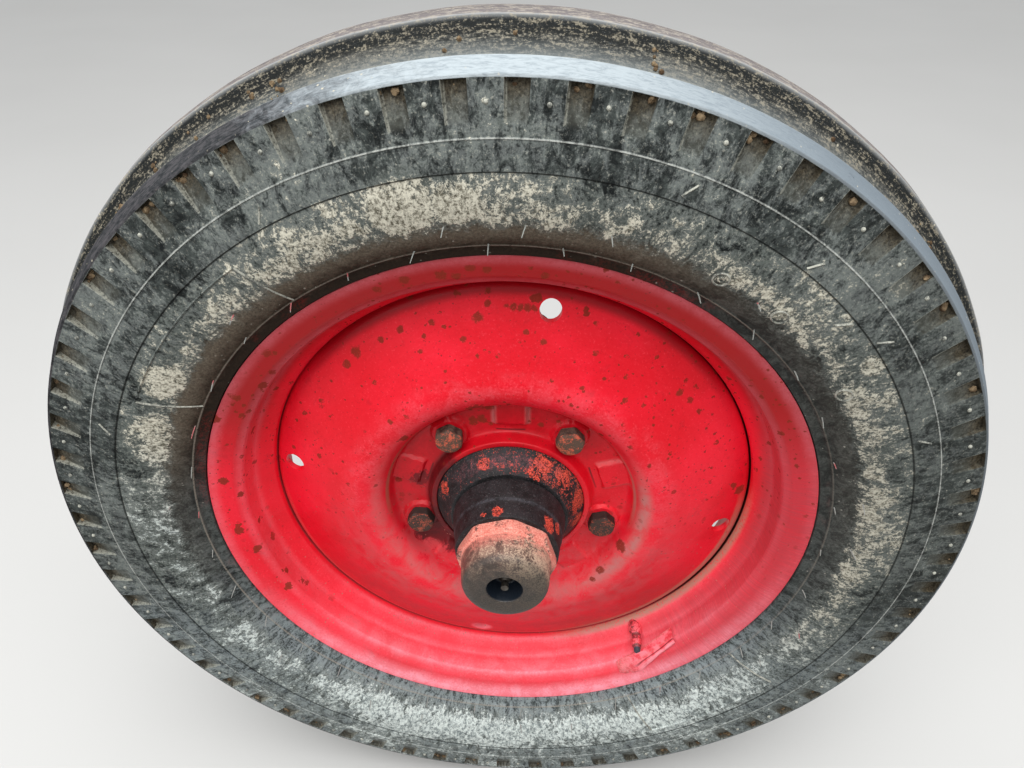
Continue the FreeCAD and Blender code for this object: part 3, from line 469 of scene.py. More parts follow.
def tyre_rubber():
    m = WheelShader("tyre_rubber")
    off = m.maths("ABSOLUTE", m.maths("SUBTRACT", m.depth, MIDDLE))
    above_ring = m.rise(m.radius, RING_LINE + 5, RING_LINE + 10)
    tread = m.maths(
        "MAXIMUM",
        m.rise(m.radius, NOTCH_TOP - 0.1, NOTCH_TOP + 0.4),
        m.times(m.rise(off, SHOULDER_INNER + 6.5, SHOULDER_INNER + 2.5), above_ring),
    )
    grain = m.noise(m.place, 0.6, 8, 0.8)
    mottle = m.noise(m.place, 0.09, 9, 0.76, 0.7)
    patches = m.noise(m.place, 0.013, 4, 0.6)
    streaks = m.noise(m.polar(270, 0.45), 0.2, 9, 0.78, 0.5)

    rubber = m.mix(m.rise(mottle, 0.4, 0.6), tone(27, 30, 30), tone(68, 73, 71))
    film = m.rise(m.add(m.times(streaks, 0.5), m.times(patches, 0.3), m.times(grain, 0.2)), 0.46, 0.55)
    rubber = m.mix(m.times(film, 0.64), rubber, tone(116, 121, 119))
    settled = m.times(m.rise(m.height, -30, -170), m.rise(m.add(m.times(streaks, 0.6), m.times(grain, 0.4)), 0.43, 0.55, 0.08, 1.0))
    rubber = m.mix(m.times(settled, 0.8), rubber, tone(148, 158, 160))
    high = m.rise(m.height, -110, 60)
    ragged = m.add(m.radius, m.times(m.maths("SUBTRACT", mottle, 0.5), 24))
    near_bead = m.times(m.rise(ragged, 251, 242), m.add(0.06, m.times(high, 0.94)))
    soil = m.colours(ragged, ((228.0, tone(42, 33, 26)), (231.5, tone(64, 54, 45)), (240.0, tone(108, 99, 86))))
    greyer = m.maths("MAXIMUM", m.rise(m.across, 60, 160), m.rise(m.add(m.height, m.times(m.across, 0.3)), 40, -60))
    soil = m.mix(m.times(greyer, 0.85), soil, m.mix(m.rise(mottle, 0.4, 0.6), tone(48, 51, 50), tone(86, 89, 86)))
    rubber = m.mix(near_bead, rubber, m.mix(m.rise(grain, 0.4, 0.6), m.mix(0.4, soil, tone(14, 10, 8)), soil))
    sprayed = m.times(m.rise(m.radius, 230, 228), m.rise(patches, 0.54, 0.62), m.rise(grain, 0.44, 0.56))
    rubber = m.mix(m.times(sprayed, 0.28), rubber, tone(130, 26, 28))

    weight = m.levels(m.radius, SIDE_DUST)
    # heavier low on the wheel and to the left, as it was last left standing
    lean = m.add(m.rise(m.height, -60, -260, 0.0, 0.075), m.rise(m.across, -60, -240, 0.0, -0.01))
    lean = m.add(lean, m.times(m.spots(MUD_SMEARS, mottle), 0.09))
    cover = m.add(m.times(mottle, 0.42), m.times(streaks, 0.3), m.times(grain, 0.28), m.times(patches, 0.3), lean)
    cover = m.add(cover, m.times(m.maths("SUBTRACT", weight, 1.0), 0.16), m.times(near_bead, -0.06))
    haze = m.times(m.rise(cover, 0.56, 0.65), m.maths("SUBTRACT", 1.0, m.times(near_bead, 0.7)))
    side = m.mix(m.times(haze, 0.36), rubber, m.mix(grain, tone(100, 108, 104), tone(162, 168, 160)))
    clumps = m.noise(m.polar(300, 0.8), 0.3, 7, 0.85, 0.4)
    dust = m.rise(m.add(cover, m.times(m.maths("SUBTRACT", clumps, 0.5), 0.24)), 0.653, 0.713)
    pale = m.mix(m.rise(m.add(m.times(grain, 0.4), m.times(clumps, 0.6)), 0.42, 0.56), tone(96, 90, 74), tone(232, 227, 208))
    side_height = m.add(m.height, m.times(m.across, 0.3))
    pale = m.mix(m.times(m.rise(side_height, 30, -90), 0.85), pale, m.mix(m.rise(clumps, 0.4, 0.58), tone(112, 124, 127), tone(226, 236, 233)))
    side = m.mix(m.times(dust, 0.86), side, pale)
    grit = m.times(m.rise(grain, 0.54, 0.62), m.rise(streaks, 0.4, 0.6, 0.12, 0.5), m.rise(m.radius, 236, 250))
    side = m.mix(grit, side, tone(172, 170, 156))
    pits = m.times(m.rise(grain, 0.44, 0.36), m.maths("SUBTRACT", 0.5, m.times(dust, 0.3)))
    side = m.mix(pits, side, tone(28, 29, 28))
    # painted shade: the sidewall darker towards the right
    side = m.mix(m.rise(m.across, 130, 280, 0.0, 0.3), side, tone(48, 50, 47))
    specks = m.specks(m.place, 0.3, 0.3, 0.2)
    side = m.mix(m.times(specks, m.rise(mottle, 0.4, 0.6), 0.6), side, tone(178, 176, 164))

    notch = m.rise(m.node("ShaderNodeAttribute", attribute_name="notch").outputs["Fac"], 0.03, 0.22)
    # painted shadow: the top of each notch, under the rib's edge, dark brown with caked mud; below that, painted shade
    # darkens the pocket
    caked_and_shaded = m.times(notch, m.rise(m.radius, 304, 320))
    side = m.mix(m.times(caked_and_shaded, 0.75), side, m.mix(m.rise(grain, 0.35, 0.6), tone(34, 28, 21), tone(92, 82, 64)))
    below = m.maths("SUBTRACT", notch, caked_and_shaded)
    side = m.mix(m.times(below, 0.42), side, m.mix(mottle, tone(52, 52, 47), tone(108, 108, 98)))
    # painted highlight: a pale line along the left edge of each notch, where the edge catches the light
    edge = m.rise(m.node("ShaderNodeAttribute", attribute_name="edge").outputs["Fac"], 0.8, 0.95)
    side = m.mix(m.times(edge, m.rise(grain, 0.38, 0.54), 0.6), side, tone(162, 162, 150))
    broken = m.rise(m.add(m.times(streaks, 0.5), m.times(grain, 0.5)), 0.42, 0.56)
    ring = m.times(m.band(m.radius, RING_LINE - 0.5, RING_LINE + 0.3, 0.3), m.add(0.25, m.times(broken, 0.6)))
    side = m.mix(ring, side, tone(188, 190, 184))
    step = m.band(m.radius, STEP_LINE - 0.7, STEP_LINE + 0.2, 0.4)
    side = m.mix(m.times(step, 0.8), side, tone(20, 21, 21))
    thread = m.times(m.band(m.radius, BEAD_LINE + 2.0, BEAD_LINE + 2.9, 0.3), m.rise(grain, 0.36, 0.5))
    side = m.mix(m.times(thread, m.rise(m.across, 120, 200, 0.6, 0.25)), side, tone(150, 144, 132))

    # the tread's colours across it, painted shade on the centre rib's side walls among them
    face = m.colours(off, TREAD_TONES_AND_SHADE)
    along = m.noise(m.polar(100, 1.0, 1.0), 0.4, 9, 0.8, 0.4)
    # painted shade: the ribs' faces are dark low down and to the left; painted light makes the shoulder rib's face
    # lighter near the top
    aside = m.add(m.across, m.times(m.height, 0.35), m.times(m.maths("SUBTRACT", mottle, 0.5), 200))
    shaded = m.rise(aside, 80, -50)
    dark = m.mix(m.rise(m.add(m.times(along, 0.6), m.times(mottle, 0.4)), 0.42, 0.58), tone(18, 18, 20), tone(72, 68, 70))
    rib = m.rise(off, SHOULDER_INNER - 2, SHOULDER_INNER + 1)
    lit = m.times(rib, m.rise(m.height, 120, 300), m.rise(along, 0.36, 0.56, 0.45, 1.0))
    lit = m.times(lit, m.rise(m.across, 190, 20, 0.12, 1.0))
    face = m.mix(m.times(lit, 0.88), face, tone(178, 187, 191))
    face = m.mix(m.times(shaded, rib, 0.94), face, dark)
    groove = m.band(off, RIB_FOOT, SHOULDER_INNER, 1.0)
    dusty = m.rise(m.add(m.times(grain, 0.3), m.times(along, 0.45), m.times(patches, 0.25)), 0.44, 0.53)
    dusty = m.times(dusty, groove, m.rise(off, GROOVE_INNER - 6, SHOULDER_INNER - 3, 0.2, 1.0))
    face = m.mix(m.times(dusty, 0.8), face, m.mix(grain, tone(166, 164, 152), tone(218, 217, 208)))
    clotted = m.times(m.rise(m.add(m.times(grain, 0.5), m.times(along, 0.5)), 0.5, 0.57), m.rise(off, GROOVE_INNER, RIB_FOOT))
    face = m.mix(m.times(clotted, 0.7), face, tone(158, 150, 132))
    crown = m.times(m.rise(off, RIB_EDGE + 0.5, RIB_EDGE - 0.5), m.rise(along, 0.47, 0.6))
    face = m.mix(m.times(crown, 0.5), face, tone(182, 174, 164))
    scratches = m.rise(m.noise(m.polar(330, 3.0, 3.0), 0.5, 4, 0.8, 1.5), 0.56, 0.7)
    face = m.mix(m.times(scratches, m.add(0.3, m.times(shaded, -0.2))), face, tone(184, 190, 190))
    flecks = m.times(specks, m.rise(patches, 0.4, 0.6))
    face = m.mix(m.times(flecks, 0.8), face, tone(200, 192, 170))

    colour = m.mix(tread, side, face)
    shine = m.times(tread, rib, m.maths("SUBTRACT", 1.0, shaded))
    rough = m.add(0.7, m.times(dust, 0.2), m.times(shine, -0.14), m.times(tread, shaded, 0.2))
    height = m.add(m.times(grain, 0.6), m.times(streaks, 0.4), m.times(dust, 0.5))
    normal = m.bump(height, 0.6)
    return m.finish(colour, rough, normal, specular=0.08)


# rust: radius, depth, angle, size
RUST_PATCHES = (
    (168.6, 33.0, 84.8, 2.8),
    (168.2, 33.0, 86.2, 3.2),
    (168.4, 33.0, 87.8, 3.0),
    (168.8, 33.0, 89.4, 3.0),
    (169.2, 33.0, 91.0, 2.2),
    (99.0, 20.0, 104.0, 7.0),
    (95.0, 26.0, 98.0, 6.0),
    (89.0, 32.0, 101.0, 6.0),
    (212.0, 3.0, 107.0, 3.4),
    (210.0, 4.0, 101.0, 4.0),
    (208.0, 5.0, 98.6, 3.4),
    (213.0, 3.0, 96.0, 3.2),
    (211.0, 3.5, 93.4, 3.0),
    (208.0, 4.0, 84.0, 2.8),
    (211.0, 3.0, 112.0, 3.0),
    (96.5, 21.5, -25.0, 5.5),
    (99.0, 18.7, -42.5, 3.8),
    (101.5, 16.6, -48.5, 2.6),
    (77.0, 33.6, 106.2, 4.4),
    (77.4, 33.6, 110.6, 4.6),
    (73.4, 33.6, 72.6, 2.6),
    (102.0, 17.5, 138.0, 4.0),
    (84.0, 33.8, 128.0, 2.4),
    (88.0, 34.0, 172.0, 3.0),
    (176.0, 37.5, 3.0, 5.0),
    (170.0, 35.0, 5.5, 3.0),
    (162.3, 31.6, 97.6, 4.0),
    (170.6, 35.0, 95.1, 2.6),
    (166.4, 33.3, 116.5, 2.8),
    (168.0, 33.9, 129.3, 4.2),
    (165.6, 33.0, 133.4, 3.4),
    (164.3, 32.4, 108.6, 2.4),
    (150.0, 26.5, 102.0, 2.4),
    (153.2, 27.9, 86.0, 2.2),
    (148.4, 25.9, 81.5, 2.4),
    (149.4, 26.3, 114.1, 2.0),
    (166.1, 33.2, 122.0, 2.6),
    (157.5, 29.6, 41.9, 3.0),
    (159.4, 30.4, 38.3, 2.6),
)


# radius on the rim, and the share of chalk and painted sheen below the axis there
RIM_CHALK_AND_SHEEN = (
    (184.0, 0.02),
    (186.0, 0.38),
    (189.0, 0.2),
    (193.0, 0.15),
    (196.5, 0.34),
    (197.8, 0.26),
    (199.4, 0.66),
    (201.0, 0.4),
    (203.5, 0.2),
    (207.0, 0.16),
    (210.0, 0.36),
    (214.0, 0.72),
    (217.0, 0.86),
    (220.0, 0.72),
    (222.5, 0.5),
)


def red_paint():
    m = WheelShader("red_paint")
    broad = m.noise(m.place, 0.012, 4, 0.6)
    mottle = m.noise(m.place, 0.06, 6, 0.7, 0.5)
    grain = m.noise(m.place, 0.6, 6, 0.75)
    brushed = m.noise(m.polar(150, 2.2, 2.2), 0.12, 5, 0.7, 0.3)
    ragged = m.noise(m.place, 0.3, 6, 0.75)
    paint = m.mix(m.rise(broad, 0.35, 0.65), tone(224, 10, 32), tone(244, 22, 48))
    paint = m.mix(m.rise(brushed, 0.5, 0.75, 0.0, 0.2), paint, tone(246, 60, 76))
    paint = m.mix(m.rise(mottle, 0.56, 0.7, 0.0, 0.3), paint, tone(176, 14, 24))
    paint = m.mix(m.rise(grain, 0.55, 0.66, 0.0, 0.22), paint, tone(255, 104, 118))
    paint = m.mix(m.rise(grain, 0.43, 0.35, 0.0, 0.3), paint, tone(140, 8, 16))

    # painted shade: deeper, darker red on the rim's upper inside, which faces down, on the disc's band just under the
    # rim at the top, and high in the cavity and to its left
    shade_under_flange = m.times(m.rise(m.radius, 188, 198), m.rise(m.height, 20, 120))
    paint = m.mix(m.times(shade_under_flange, 0.92), paint, tone(160, 2, 6))
    shadow_under_rim = m.times(m.band(m.radius, 176, 184, 3.0), m.rise(m.height, 70, 150))
    paint = m.mix(m.times(shadow_under_rim, 0.7), paint, tone(120, 0, 10))
    cavity = m.times(m.rise(m.radius, 97, 92), m.rise(m.add(m.height, m.times(m.across, -0.8)), -50, 40))
    paint = m.mix(m.times(cavity, m.rise(mottle, 0.35, 0.6, 0.6, 0.9)), paint, tone(182, 8, 22))
    # chalk, dust and painted sheen on what faces up, below the axis
    low = m.rise(m.add(m.height, m.times(m.across, -0.15)), -15, -190)
    patchy = m.rise(m.add(m.times(mottle, 0.6), m.times(grain, 0.4)), 0.42, 0.6)
    lip = m.times(m.rise(m.radius, 212, 220), m.rise(m.depth, 7, 0))
    ridge = m.band(m.radius, 195, 204, 2.5)
    worn = m.maths("MAXIMUM", m.times(lip, 0.2), m.times(ridge, 0.16))
    worn = m.maths("MAXIMUM", worn, m.times(m.levels(m.radius, RIM_CHALK_AND_SHEEN), low))
    chalk_and_sheen = m.times(worn, m.add(0.72, m.times(patchy, 0.5)))
    paint = m.mix(chalk_and_sheen, paint, tone(252, 158, 172))
    # duller and greyer on the rim's right
    dull = m.times(m.rise(m.across, 70, 160), m.rise(m.height, 120, 30), m.rise(m.radius, 186, 194))
    runs = m.noise(m.polar(700, 0.3, 0.3), 0.25, 5, 0.75, 0.4)
    dull = m.times(dull, m.add(m.rise(runs, 0.34, 0.66, 0.5, 0.82), m.times(worn, -0.2)))
    paint = m.mix(dull, paint, m.mix(m.times(worn, low), tone(176, 56, 66), tone(200, 92, 102)))

    # the crest round the cavity: pale above from chalk and a painted highlight, a pink film of dust and painted sheen
    # lower down, and dusty grey and pink along its foot below
    crest = m.times(m.band(m.radius, 104, 124, 8.0), m.rise(m.height, -60, 40), patchy)
    paint = m.mix(m.times(crest, 0.28), paint, tone(240, 112, 124))
    film = m.times(m.rise(m.height, 30, -90), m.rise(m.radius, 165, 120), m.rise(mottle, 0.36, 0.64))
    paint = m.mix(m.times(film, 0.45), paint, tone(212, 112, 114))
    lower = m.times(m.band(m.radius, 150, 181, 8.0), m.rise(m.height, -50, -120), m.rise(mottle, 0.3, 0.6, 0.5, 1.0))
    paint = m.mix(m.times(lower, 0.45), paint, tone(150, 64, 66))
    foot = m.times(m.rise(m.height, 62, 12), m.rise(mottle, 0.28, 0.6, 0.3, 1.0))
    right = m.rise(m.add(m.across, m.times(m.height, 0.3)), 20, 80)
    rolled = m.times(m.band(m.radius, 98, 106, 4.5), foot, m.add(0.35, m.times(right, 0.65)))
    paint = m.mix(m.times(rolled, 0.72), paint, tone(178, 136, 130))
    # a thin dusty line round the cavity's edge
    brink = m.times(m.band(m.radius, 94.2, 96.0, 0.5), m.rise(m.height, -30, 10), m.rise(grain, 0.26, 0.46))
    paint = m.mix(m.times(brink, 0.7), paint, m.mix(m.rise(m.across, -40, -80), tone(184, 130, 118), tone(164, 104, 84)))
    # painted shade in the crevice between the disc and the rim: near black to the upper right, dark red to the left
    inmost = m.rise(m.across, -60, 120, 183.5, 182.7)
    junction = m.times(m.rise(m.maths("SUBTRACT", m.radius, inmost), -0.4, 0.4), m.rise(m.radius, 185.0, 184.3))
    junction = m.times(junction, m.rise(m.depth, 39.8, 41.2), m.rise(grain, 0.2, 0.4))
    low_right = m.times(m.rise(m.across, 20, 90), m.rise(m.height, 20, -40), m.rise(grain, 0.34, 0.5))
    lodged = m.times(m.band(m.radius, 176.0, 189, 1.6), m.rise(m.depth, 34, 37), low_right)
    paint = m.mix(m.times(lodged, 0.8), paint, tone(164, 132, 112))
    gap_shade = m.mix(m.rise(m.add(m.across, m.times(m.height, 0.6)), -20, 120), tone(186, 66, 72), tone(34, 14, 12))
    dusted = m.times(m.band(m.radius, 178, 183, 1.5), m.rise(m.height, 20, -50), m.rise(m.depth, 36, 38))
    paint = m.mix(m.times(dusted, 0.5), paint, tone(222, 96, 98))
    paint = m.mix(junction, paint, gap_shade)
    # painted light: the lowest hole's edge, and the rim seen through it, lighter pink as if lit
    edge = m.spots([(HAND_HOLE_RADIUS, 36.0, 261.0, 10.5)])
    paint = m.mix(m.times(edge, m.rise(m.radius, 157, 160)), paint, tone(250, 116, 128))
    # the five pads: chalk down both sides, and a painted shadow line under the inner end
    turn = m.maths("SUBTRACT", m.maths("ARCTAN2", m.height, m.across), math.pi / 2)
    turn = m.maths("WRAP", turn, math.pi / 5, -math.pi / 5)
    beside = m.maths("ABSOLUTE", m.times(m.radius, m.maths("SINE", turn)))
    outward = m.times(m.radius, m.maths("COSINE", turn))
    upper = m.rise(m.height, -40, 10)
    sides = m.times(m.band(beside, 10.8, 14.0, 1.8), m.band(outward, 71, 96, 1.5), m.rise(m.radius, 97, 94))
    sides = m.times(sides, upper, m.rise(m.height, 20, 70, 0.5, 1.0), m.rise(m.across, -75, -35, 0.15, 1.0))
    paint = m.mix(m.times(sides, m.rise(mottle, 0.3, 0.55, 0.3, 0.7)), paint, tone(198, 118, 116))
    # painted shadow under the inner end of each upper pad
    under = m.times(m.band(outward, 64.8, 66.0, 0.4), m.rise(beside, 11.5, 10.0), m.rise(m.height, -10, 30))
    paint = m.mix(m.times(under, 0.8), paint, tone(70, 4, 10))
    # grease off the hub on the centre hole's lip, mostly on the left, and in a smear to the left; a painted shadow of
    # the hub below and left of it
    aside = m.add(m.across, m.times(m.height, 0.25), m.times(mottle, 30))
    inside = m.times(m.rise(m.radius, 68.0, 63.5), m.rise(aside, -6, -24))
    # painted shadow of the hub, below and left of it
    below = m.spots([(69.0, 34.0, 216.0, 24.0)], mottle)
    smear = m.times(m.spots([(70.0, 32.0, 168.0, 9.5)], ragged), 0.9)
    grease_and_shadow = m.maths("MAXIMUM", inside, m.maths("MAXIMUM", below, smear))
    paint = m.mix(m.times(grease_and_shadow, 0.88), paint, m.mix(m.rise(mottle, 0.35, 0.65), tone(20, 9, 9), tone(96, 14, 20)))

    high = m.rise(m.height, 0, 90)
    area = m.times(m.rise(mottle, 0.42, 0.52), m.rise(m.height, -60, 60))
    fine = m.times(m.specks(m.place, 0.3, 0.22, 0.34), m.rise(m.height, -120, 60), m.rise(mottle, 0.44, 0.52))
    small = m.times(m.specks(m.place, 0.14, 0.4, 0.31), area)
    large = m.times(m.specks(m.place, 0.06, 0.2, 0.22), high)
    patches = m.times(m.spots(RUST_PATCHES, ragged), m.rise(grain, 0.34, 0.46))
    flange_left = m.times(m.band(m.radius, 197, 217, 2.0), m.rise(m.across, -120, -165), m.rise(m.height, -150, -90))
    scabs = m.times(m.specks(m.place, 0.11, 0.5, 0.4), flange_left)
    rust = m.maths("MAXIMUM", m.maths("MAXIMUM", small, large), m.maths("MAXIMUM", patches, fine))
    rust = m.maths("MAXIMUM", rust, scabs)
    dirt = m.times(m.specks(m.place, 0.5, 0.16, 0.3), m.rise(broad, 0.4, 0.6, 0.3, 0.8))
    paint = m.mix(dirt, paint, m.mix(m.rise(m.height, -60, 60), tone(186, 120, 108), tone(120, 26, 24)))
    brown = m.mix(grain, tone(92, 20, 10), tone(160, 56, 32))
    colour = m.mix(m.times(rust, 0.88), paint, brown)
    rough = m.add(0.36, m.times(rust, 0.4), m.times(film, 0.2), m.times(chalk_and_sheen, 0.22), m.times(grease_and_shadow, 0.1))
    height = m.add(m.times(brushed, 0.5), m.times(grain, 0.12))
    dents = m.bump(m.noise(m.place, 0.018, 2, 0.4), 2.2)
    return m.finish(colour, rough, m.bump(height, 0.2, dents), specular=0.28)


# radius, depth, angle, size
FLAKE_PLACES = (
    (51.0, 17.0, 62.0, 9.0),
    (47.0, 12.0, 66.0, 6.0),
    (50.0, 16.0, 113.0, 6.0),
    (52.0, 19.0, 38.0, 8.0),
    (53.0, 20.0, 8.0, 9.0),
    (53.0, 20.0, -14.0, 8.0),
    (53.0, 20.0, 160.0, 6.0),
    (38.0, -22.0, 100.0, 4.0),
    (38.0, -23.0, 116.0, 3.0),
    (38.0, -20.0, 38.0, 6.0),
    (38.0, -16.0, 22.0, 5.0),
)


def greasy_iron():
    m = WheelShader("greasy_iron")
    grain = m.noise(m.place, 0.9, 8, 0.8)
    mottle = m.noise(m.place, 0.11, 7, 0.74, 0.6)
    crumbs = m.noise(m.place, 0.3, 7, 0.78, 0.4)
    iron = m.mix(m.rise(mottle, 0.35, 0.65), tone(15, 13, 14), tone(40, 38, 40))
    iron = m.mix(m.times(m.rise(grain, 0.54, 0.62), 0.5), iron, tone(110, 106, 108))
    # flakes of red paint left on the cone, most at the upper right and the right
    near = m.spots(FLAKE_PLACES, m.noise(m.place, 0.08, 4, 0.7))
    flaking = m.add(m.times(mottle, 0.26), m.times(crumbs, 0.38), m.times(grain, 0.36), m.times(near, 0.06))
    flaking = m.add(flaking, m.rise(m.across, -50, 40, -0.02, 0.012))
    cone = m.band(m.radius, 44.5, 57, 1.0)
    flakes = m.times(m.rise(flaking, 0.525, 0.55), m.maths("MAXIMUM", m.times(near, 0.9), m.times(cone, 0.62)))
    paint = m.mix(m.rise(grain, 0.42, 0.58), tone(120, 24, 20), tone(238, 92, 70))
    colour = m.mix(flakes, iron, paint)
    haze = m.times(m.band(m.radius, 47, 53, 2.0), m.rise(m.height, 22, 46), m.rise(crumbs, 0.42, 0.6))
    colour = m.mix(m.times(haze, 0.25), colour, tone(178, 108, 116))
    worn = m.times(m.band(m.depth, -12.6, -10.4, 0.5), m.rise(mottle, 0.36, 0.56))
    colour = m.mix(m.times(worn, 0.16), colour, tone(104, 104, 114))
    rough = m.add(0.52, m.times(flakes, 0.3), m.times(grain, 0.15))
    height = m.add(m.times(grain, 0.6), m.times(mottle, 0.5), m.times(flakes, 0.3))
    return m.finish(colour, rough, m.bump(height, 0.6), specular=0.32)


def worn_cap():
    m = WheelShader("worn_cap")
    grain = m.noise(m.place, 0.8, 9, 0.85)
    mottle = m.noise(m.place, 0.1, 7, 0.75, 0.6)
    bronze = m.mix(m.rise(mottle, 0.38, 0.62), tone(84, 66, 60), tone(140, 112, 98))
    bias = m.add(m.rise(m.across, -20, 30, 0.0, 0.07), m.rise(m.height, -6, 24, 0.0, 0.03))
    speckle = m.rise(m.add(m.times(grain, 0.75), m.times(mottle, 0.25), bias), 0.54, 0.62)
    bronze = m.mix(m.times(speckle, 0.75), bronze, tone(208, 184, 158))
    rosy = m.times(m.rise(m.depth, -50, -38), m.rise(m.height, 4, 26), m.rise(mottle, 0.4, 0.56))
    bronze = m.mix(m.times(rosy, 0.6), bronze, tone(226, 120, 108))
    paint = m.mix(m.rise(grain, 0.4, 0.6), tone(206, 104, 90), tone(240, 168, 150))
    grip = m.rise(m.depth, -38.6, -36.4)
    left = m.times(grip, m.rise(m.add(m.times(grain, 0.4), m.times(mottle, 0.6)), 0.4, 0.5))
    colour = m.mix(left, bronze, paint)
    # painted shade: the cap darker on its underside, and its end face darker away from its top
    under = m.rise(m.add(m.height, m.times(m.depth, 0.5), m.times(m.across, -0.15)), -22, -38)
    front = m.times(m.rise(m.depth, -51, -58), m.rise(m.add(m.height, m.times(mottle, 30)), 44, 22, 0.6, 0.95))
    under = m.maths("MAXIMUM", under, front)
    colour = m.mix(m.times(under, 0.9), colour, m.mix(m.rise(grain, 0.4, 0.6), tone(18, 19, 19), tone(66, 62, 54)))
    recess = m.times(m.rise(m.radius, 13.6, 12.2), m.rise(m.depth, -60.2, -58.6))
    colour = m.mix(recess, colour, tone(22, 28, 36))
    rough = m.add(0.42, m.times(speckle, 0.3), m.times(recess, -0.12))
    return m.finish(colour, rough, m.bump(m.add(m.times(grain, 0.7), mottle), 0.4), specular=0.36)


def rusty_bolt():
    m = WheelShader("rusty_bolt")
    grain = m.noise(m.place, 1.0, 8, 0.82)
    mottle = m.noise(m.place, 0.2, 5, 0.7)
    side = m.mix(m.rise(mottle, 0.35, 0.65), tone(44, 34, 30), tone(104, 90, 78))
    fleck = m.rise(m.add(m.times(grain, 0.6), m.times(mottle, 0.4)), 0.49, 0.56)
    face = m.mix(m.times(fleck, 0.8), m.mix(grain, tone(58, 42, 36), tone(108, 84, 68)), tone(216, 98, 70))
    front = m.rise(m.depth, 24.4, 23.0)
    colour = m.mix(front, side, face)
    # the heads to the left and right are darker than the two above
    dim = m.times(m.rise(m.height, 45, 10), m.maths("SUBTRACT", 1.0, m.times(fleck, front, 0.6)))
    colour = m.mix(m.times(dim, m.rise(mottle, 0.3, 0.6, 0.6, 1.0), 0.85), colour, tone(28, 20, 20))
    return m.finish(colour, m.add(0.5, m.times(grain, 0.3)), m.bump(m.add(grain, mottle), 0.4), specular=0.4)


def worn_steel():
    m = Shader("worn_steel")
    grain = m.noise(m.place, 0.8, 6, 0.75)
    mottle = m.noise(m.place, 0.09, 5, 0.65)
    colour = m.mix(m.rise(mottle, 0.4, 0.62), tone(92, 88, 82), tone(58, 50, 44))
    return m.finish(colour, m.add(0.3, m.times(mottle, 0.4)), m.bump(grain, 0.12), metallic=0.8)


def forged_steel():
    """Forging: worn red paint, and bright turned journals on the kingpin with brown stains."""
    m = Shader("forged_steel")
    parts = m.node("ShaderNodeSeparateXYZ", {0: m.place}).outputs
    height = parts[2]
    flat = m.vector("MULTIPLY", m.place, (1, 1, 0))
    radius = m.node("ShaderNodeVectorMath", {0: flat}, operation="LENGTH").outputs["Value"]
    grain = m.noise(m.place, 0.5, 7, 0.75)
    mottle = m.noise(m.place, 0.05, 5, 0.7, 0.6)
    paint = m.mix(m.rise(mottle, 0.4, 0.6), tone(128, 24, 20), tone(160, 44, 36))
    bare = m.rise(m.add(m.times(mottle, 0.5), m.times(grain, 0.5)), 0.5, 0.58)
    paint = m.mix(m.times(bare, 0.9), paint, tone(58, 46, 40))
    turned = m.times(m.rise(height, -6.5, -5.5), m.rise(radius, 21, 19.5))
    lines = m.noise(m.vector("MULTIPLY", m.place, (0.02, 0.02, 1.0)), 2.2, 3, 0.6)
    steel = m.mix(lines, tone(92, 88, 84), tone(160, 157, 152))
    steel = m.mix(m.times(m.rise(mottle, 0.45, 0.65), 0.6), steel, tone(74, 56, 40))
    colour = m.mix(turned, paint, steel)
    rough = m.add(0.55, m.times(turned, -0.25), m.times(bare, 0.1))
    normal = m.bump(m.add(m.times(grain, 0.6), m.times(mottle, 0.6), m.times(lines, 0.1)), 0.35)
    m.feed(m.surface.inputs["Metallic"], 0.0)
    return m.finish(colour, rough, normal, metallic=m.times(turned, 0.8))


def seal_rubber():
    m = WheelShader("seal_rubber")
    grain = m.noise(m.place, 0.7, 6, 0.75)
    mottle = m.noise(m.place, 0.15, 5, 0.7)
    colour = m.mix(m.rise(mottle, 0.4, 0.65), tone(34, 33, 32), tone(84, 74, 62))
    return m.finish(colour, 0.65, m.bump(grain, 0.2), specular=0.4)


def valve_paint():
    m = WheelShader("valve_paint")
    grain = m.noise(m.place, 0.7, 6, 0.75)
    mottle = m.noise(m.place, 0.22, 5, 0.7)
    paint = m.mix(m.rise(grain, 0.4, 0.6), tone(196, 28, 42), tone(244, 104, 116))
    paint = m.mix(m.times(m.rise(mottle, 0.5, 0.6), 0.8), paint, tone(96, 30, 30))
    # darker bands in the waist and round the tip
    waist = m.maths("MAXIMUM", m.band(m.depth, 22.4, 24.6, 0.5), m.band(m.depth, 13.2, 15.0, 0.4))
    paint = m.mix(m.times(waist, 0.75), paint, tone(66, 34, 30))
    dark = m.rise(m.depth, 13.6, 12.4)
    colour = m.mix(dark, paint, m.mix(grain, tone(24, 27, 36), tone(66, 72, 84)))
    return m.finish(colour, 0.5, m.bump(grain, 0.3))


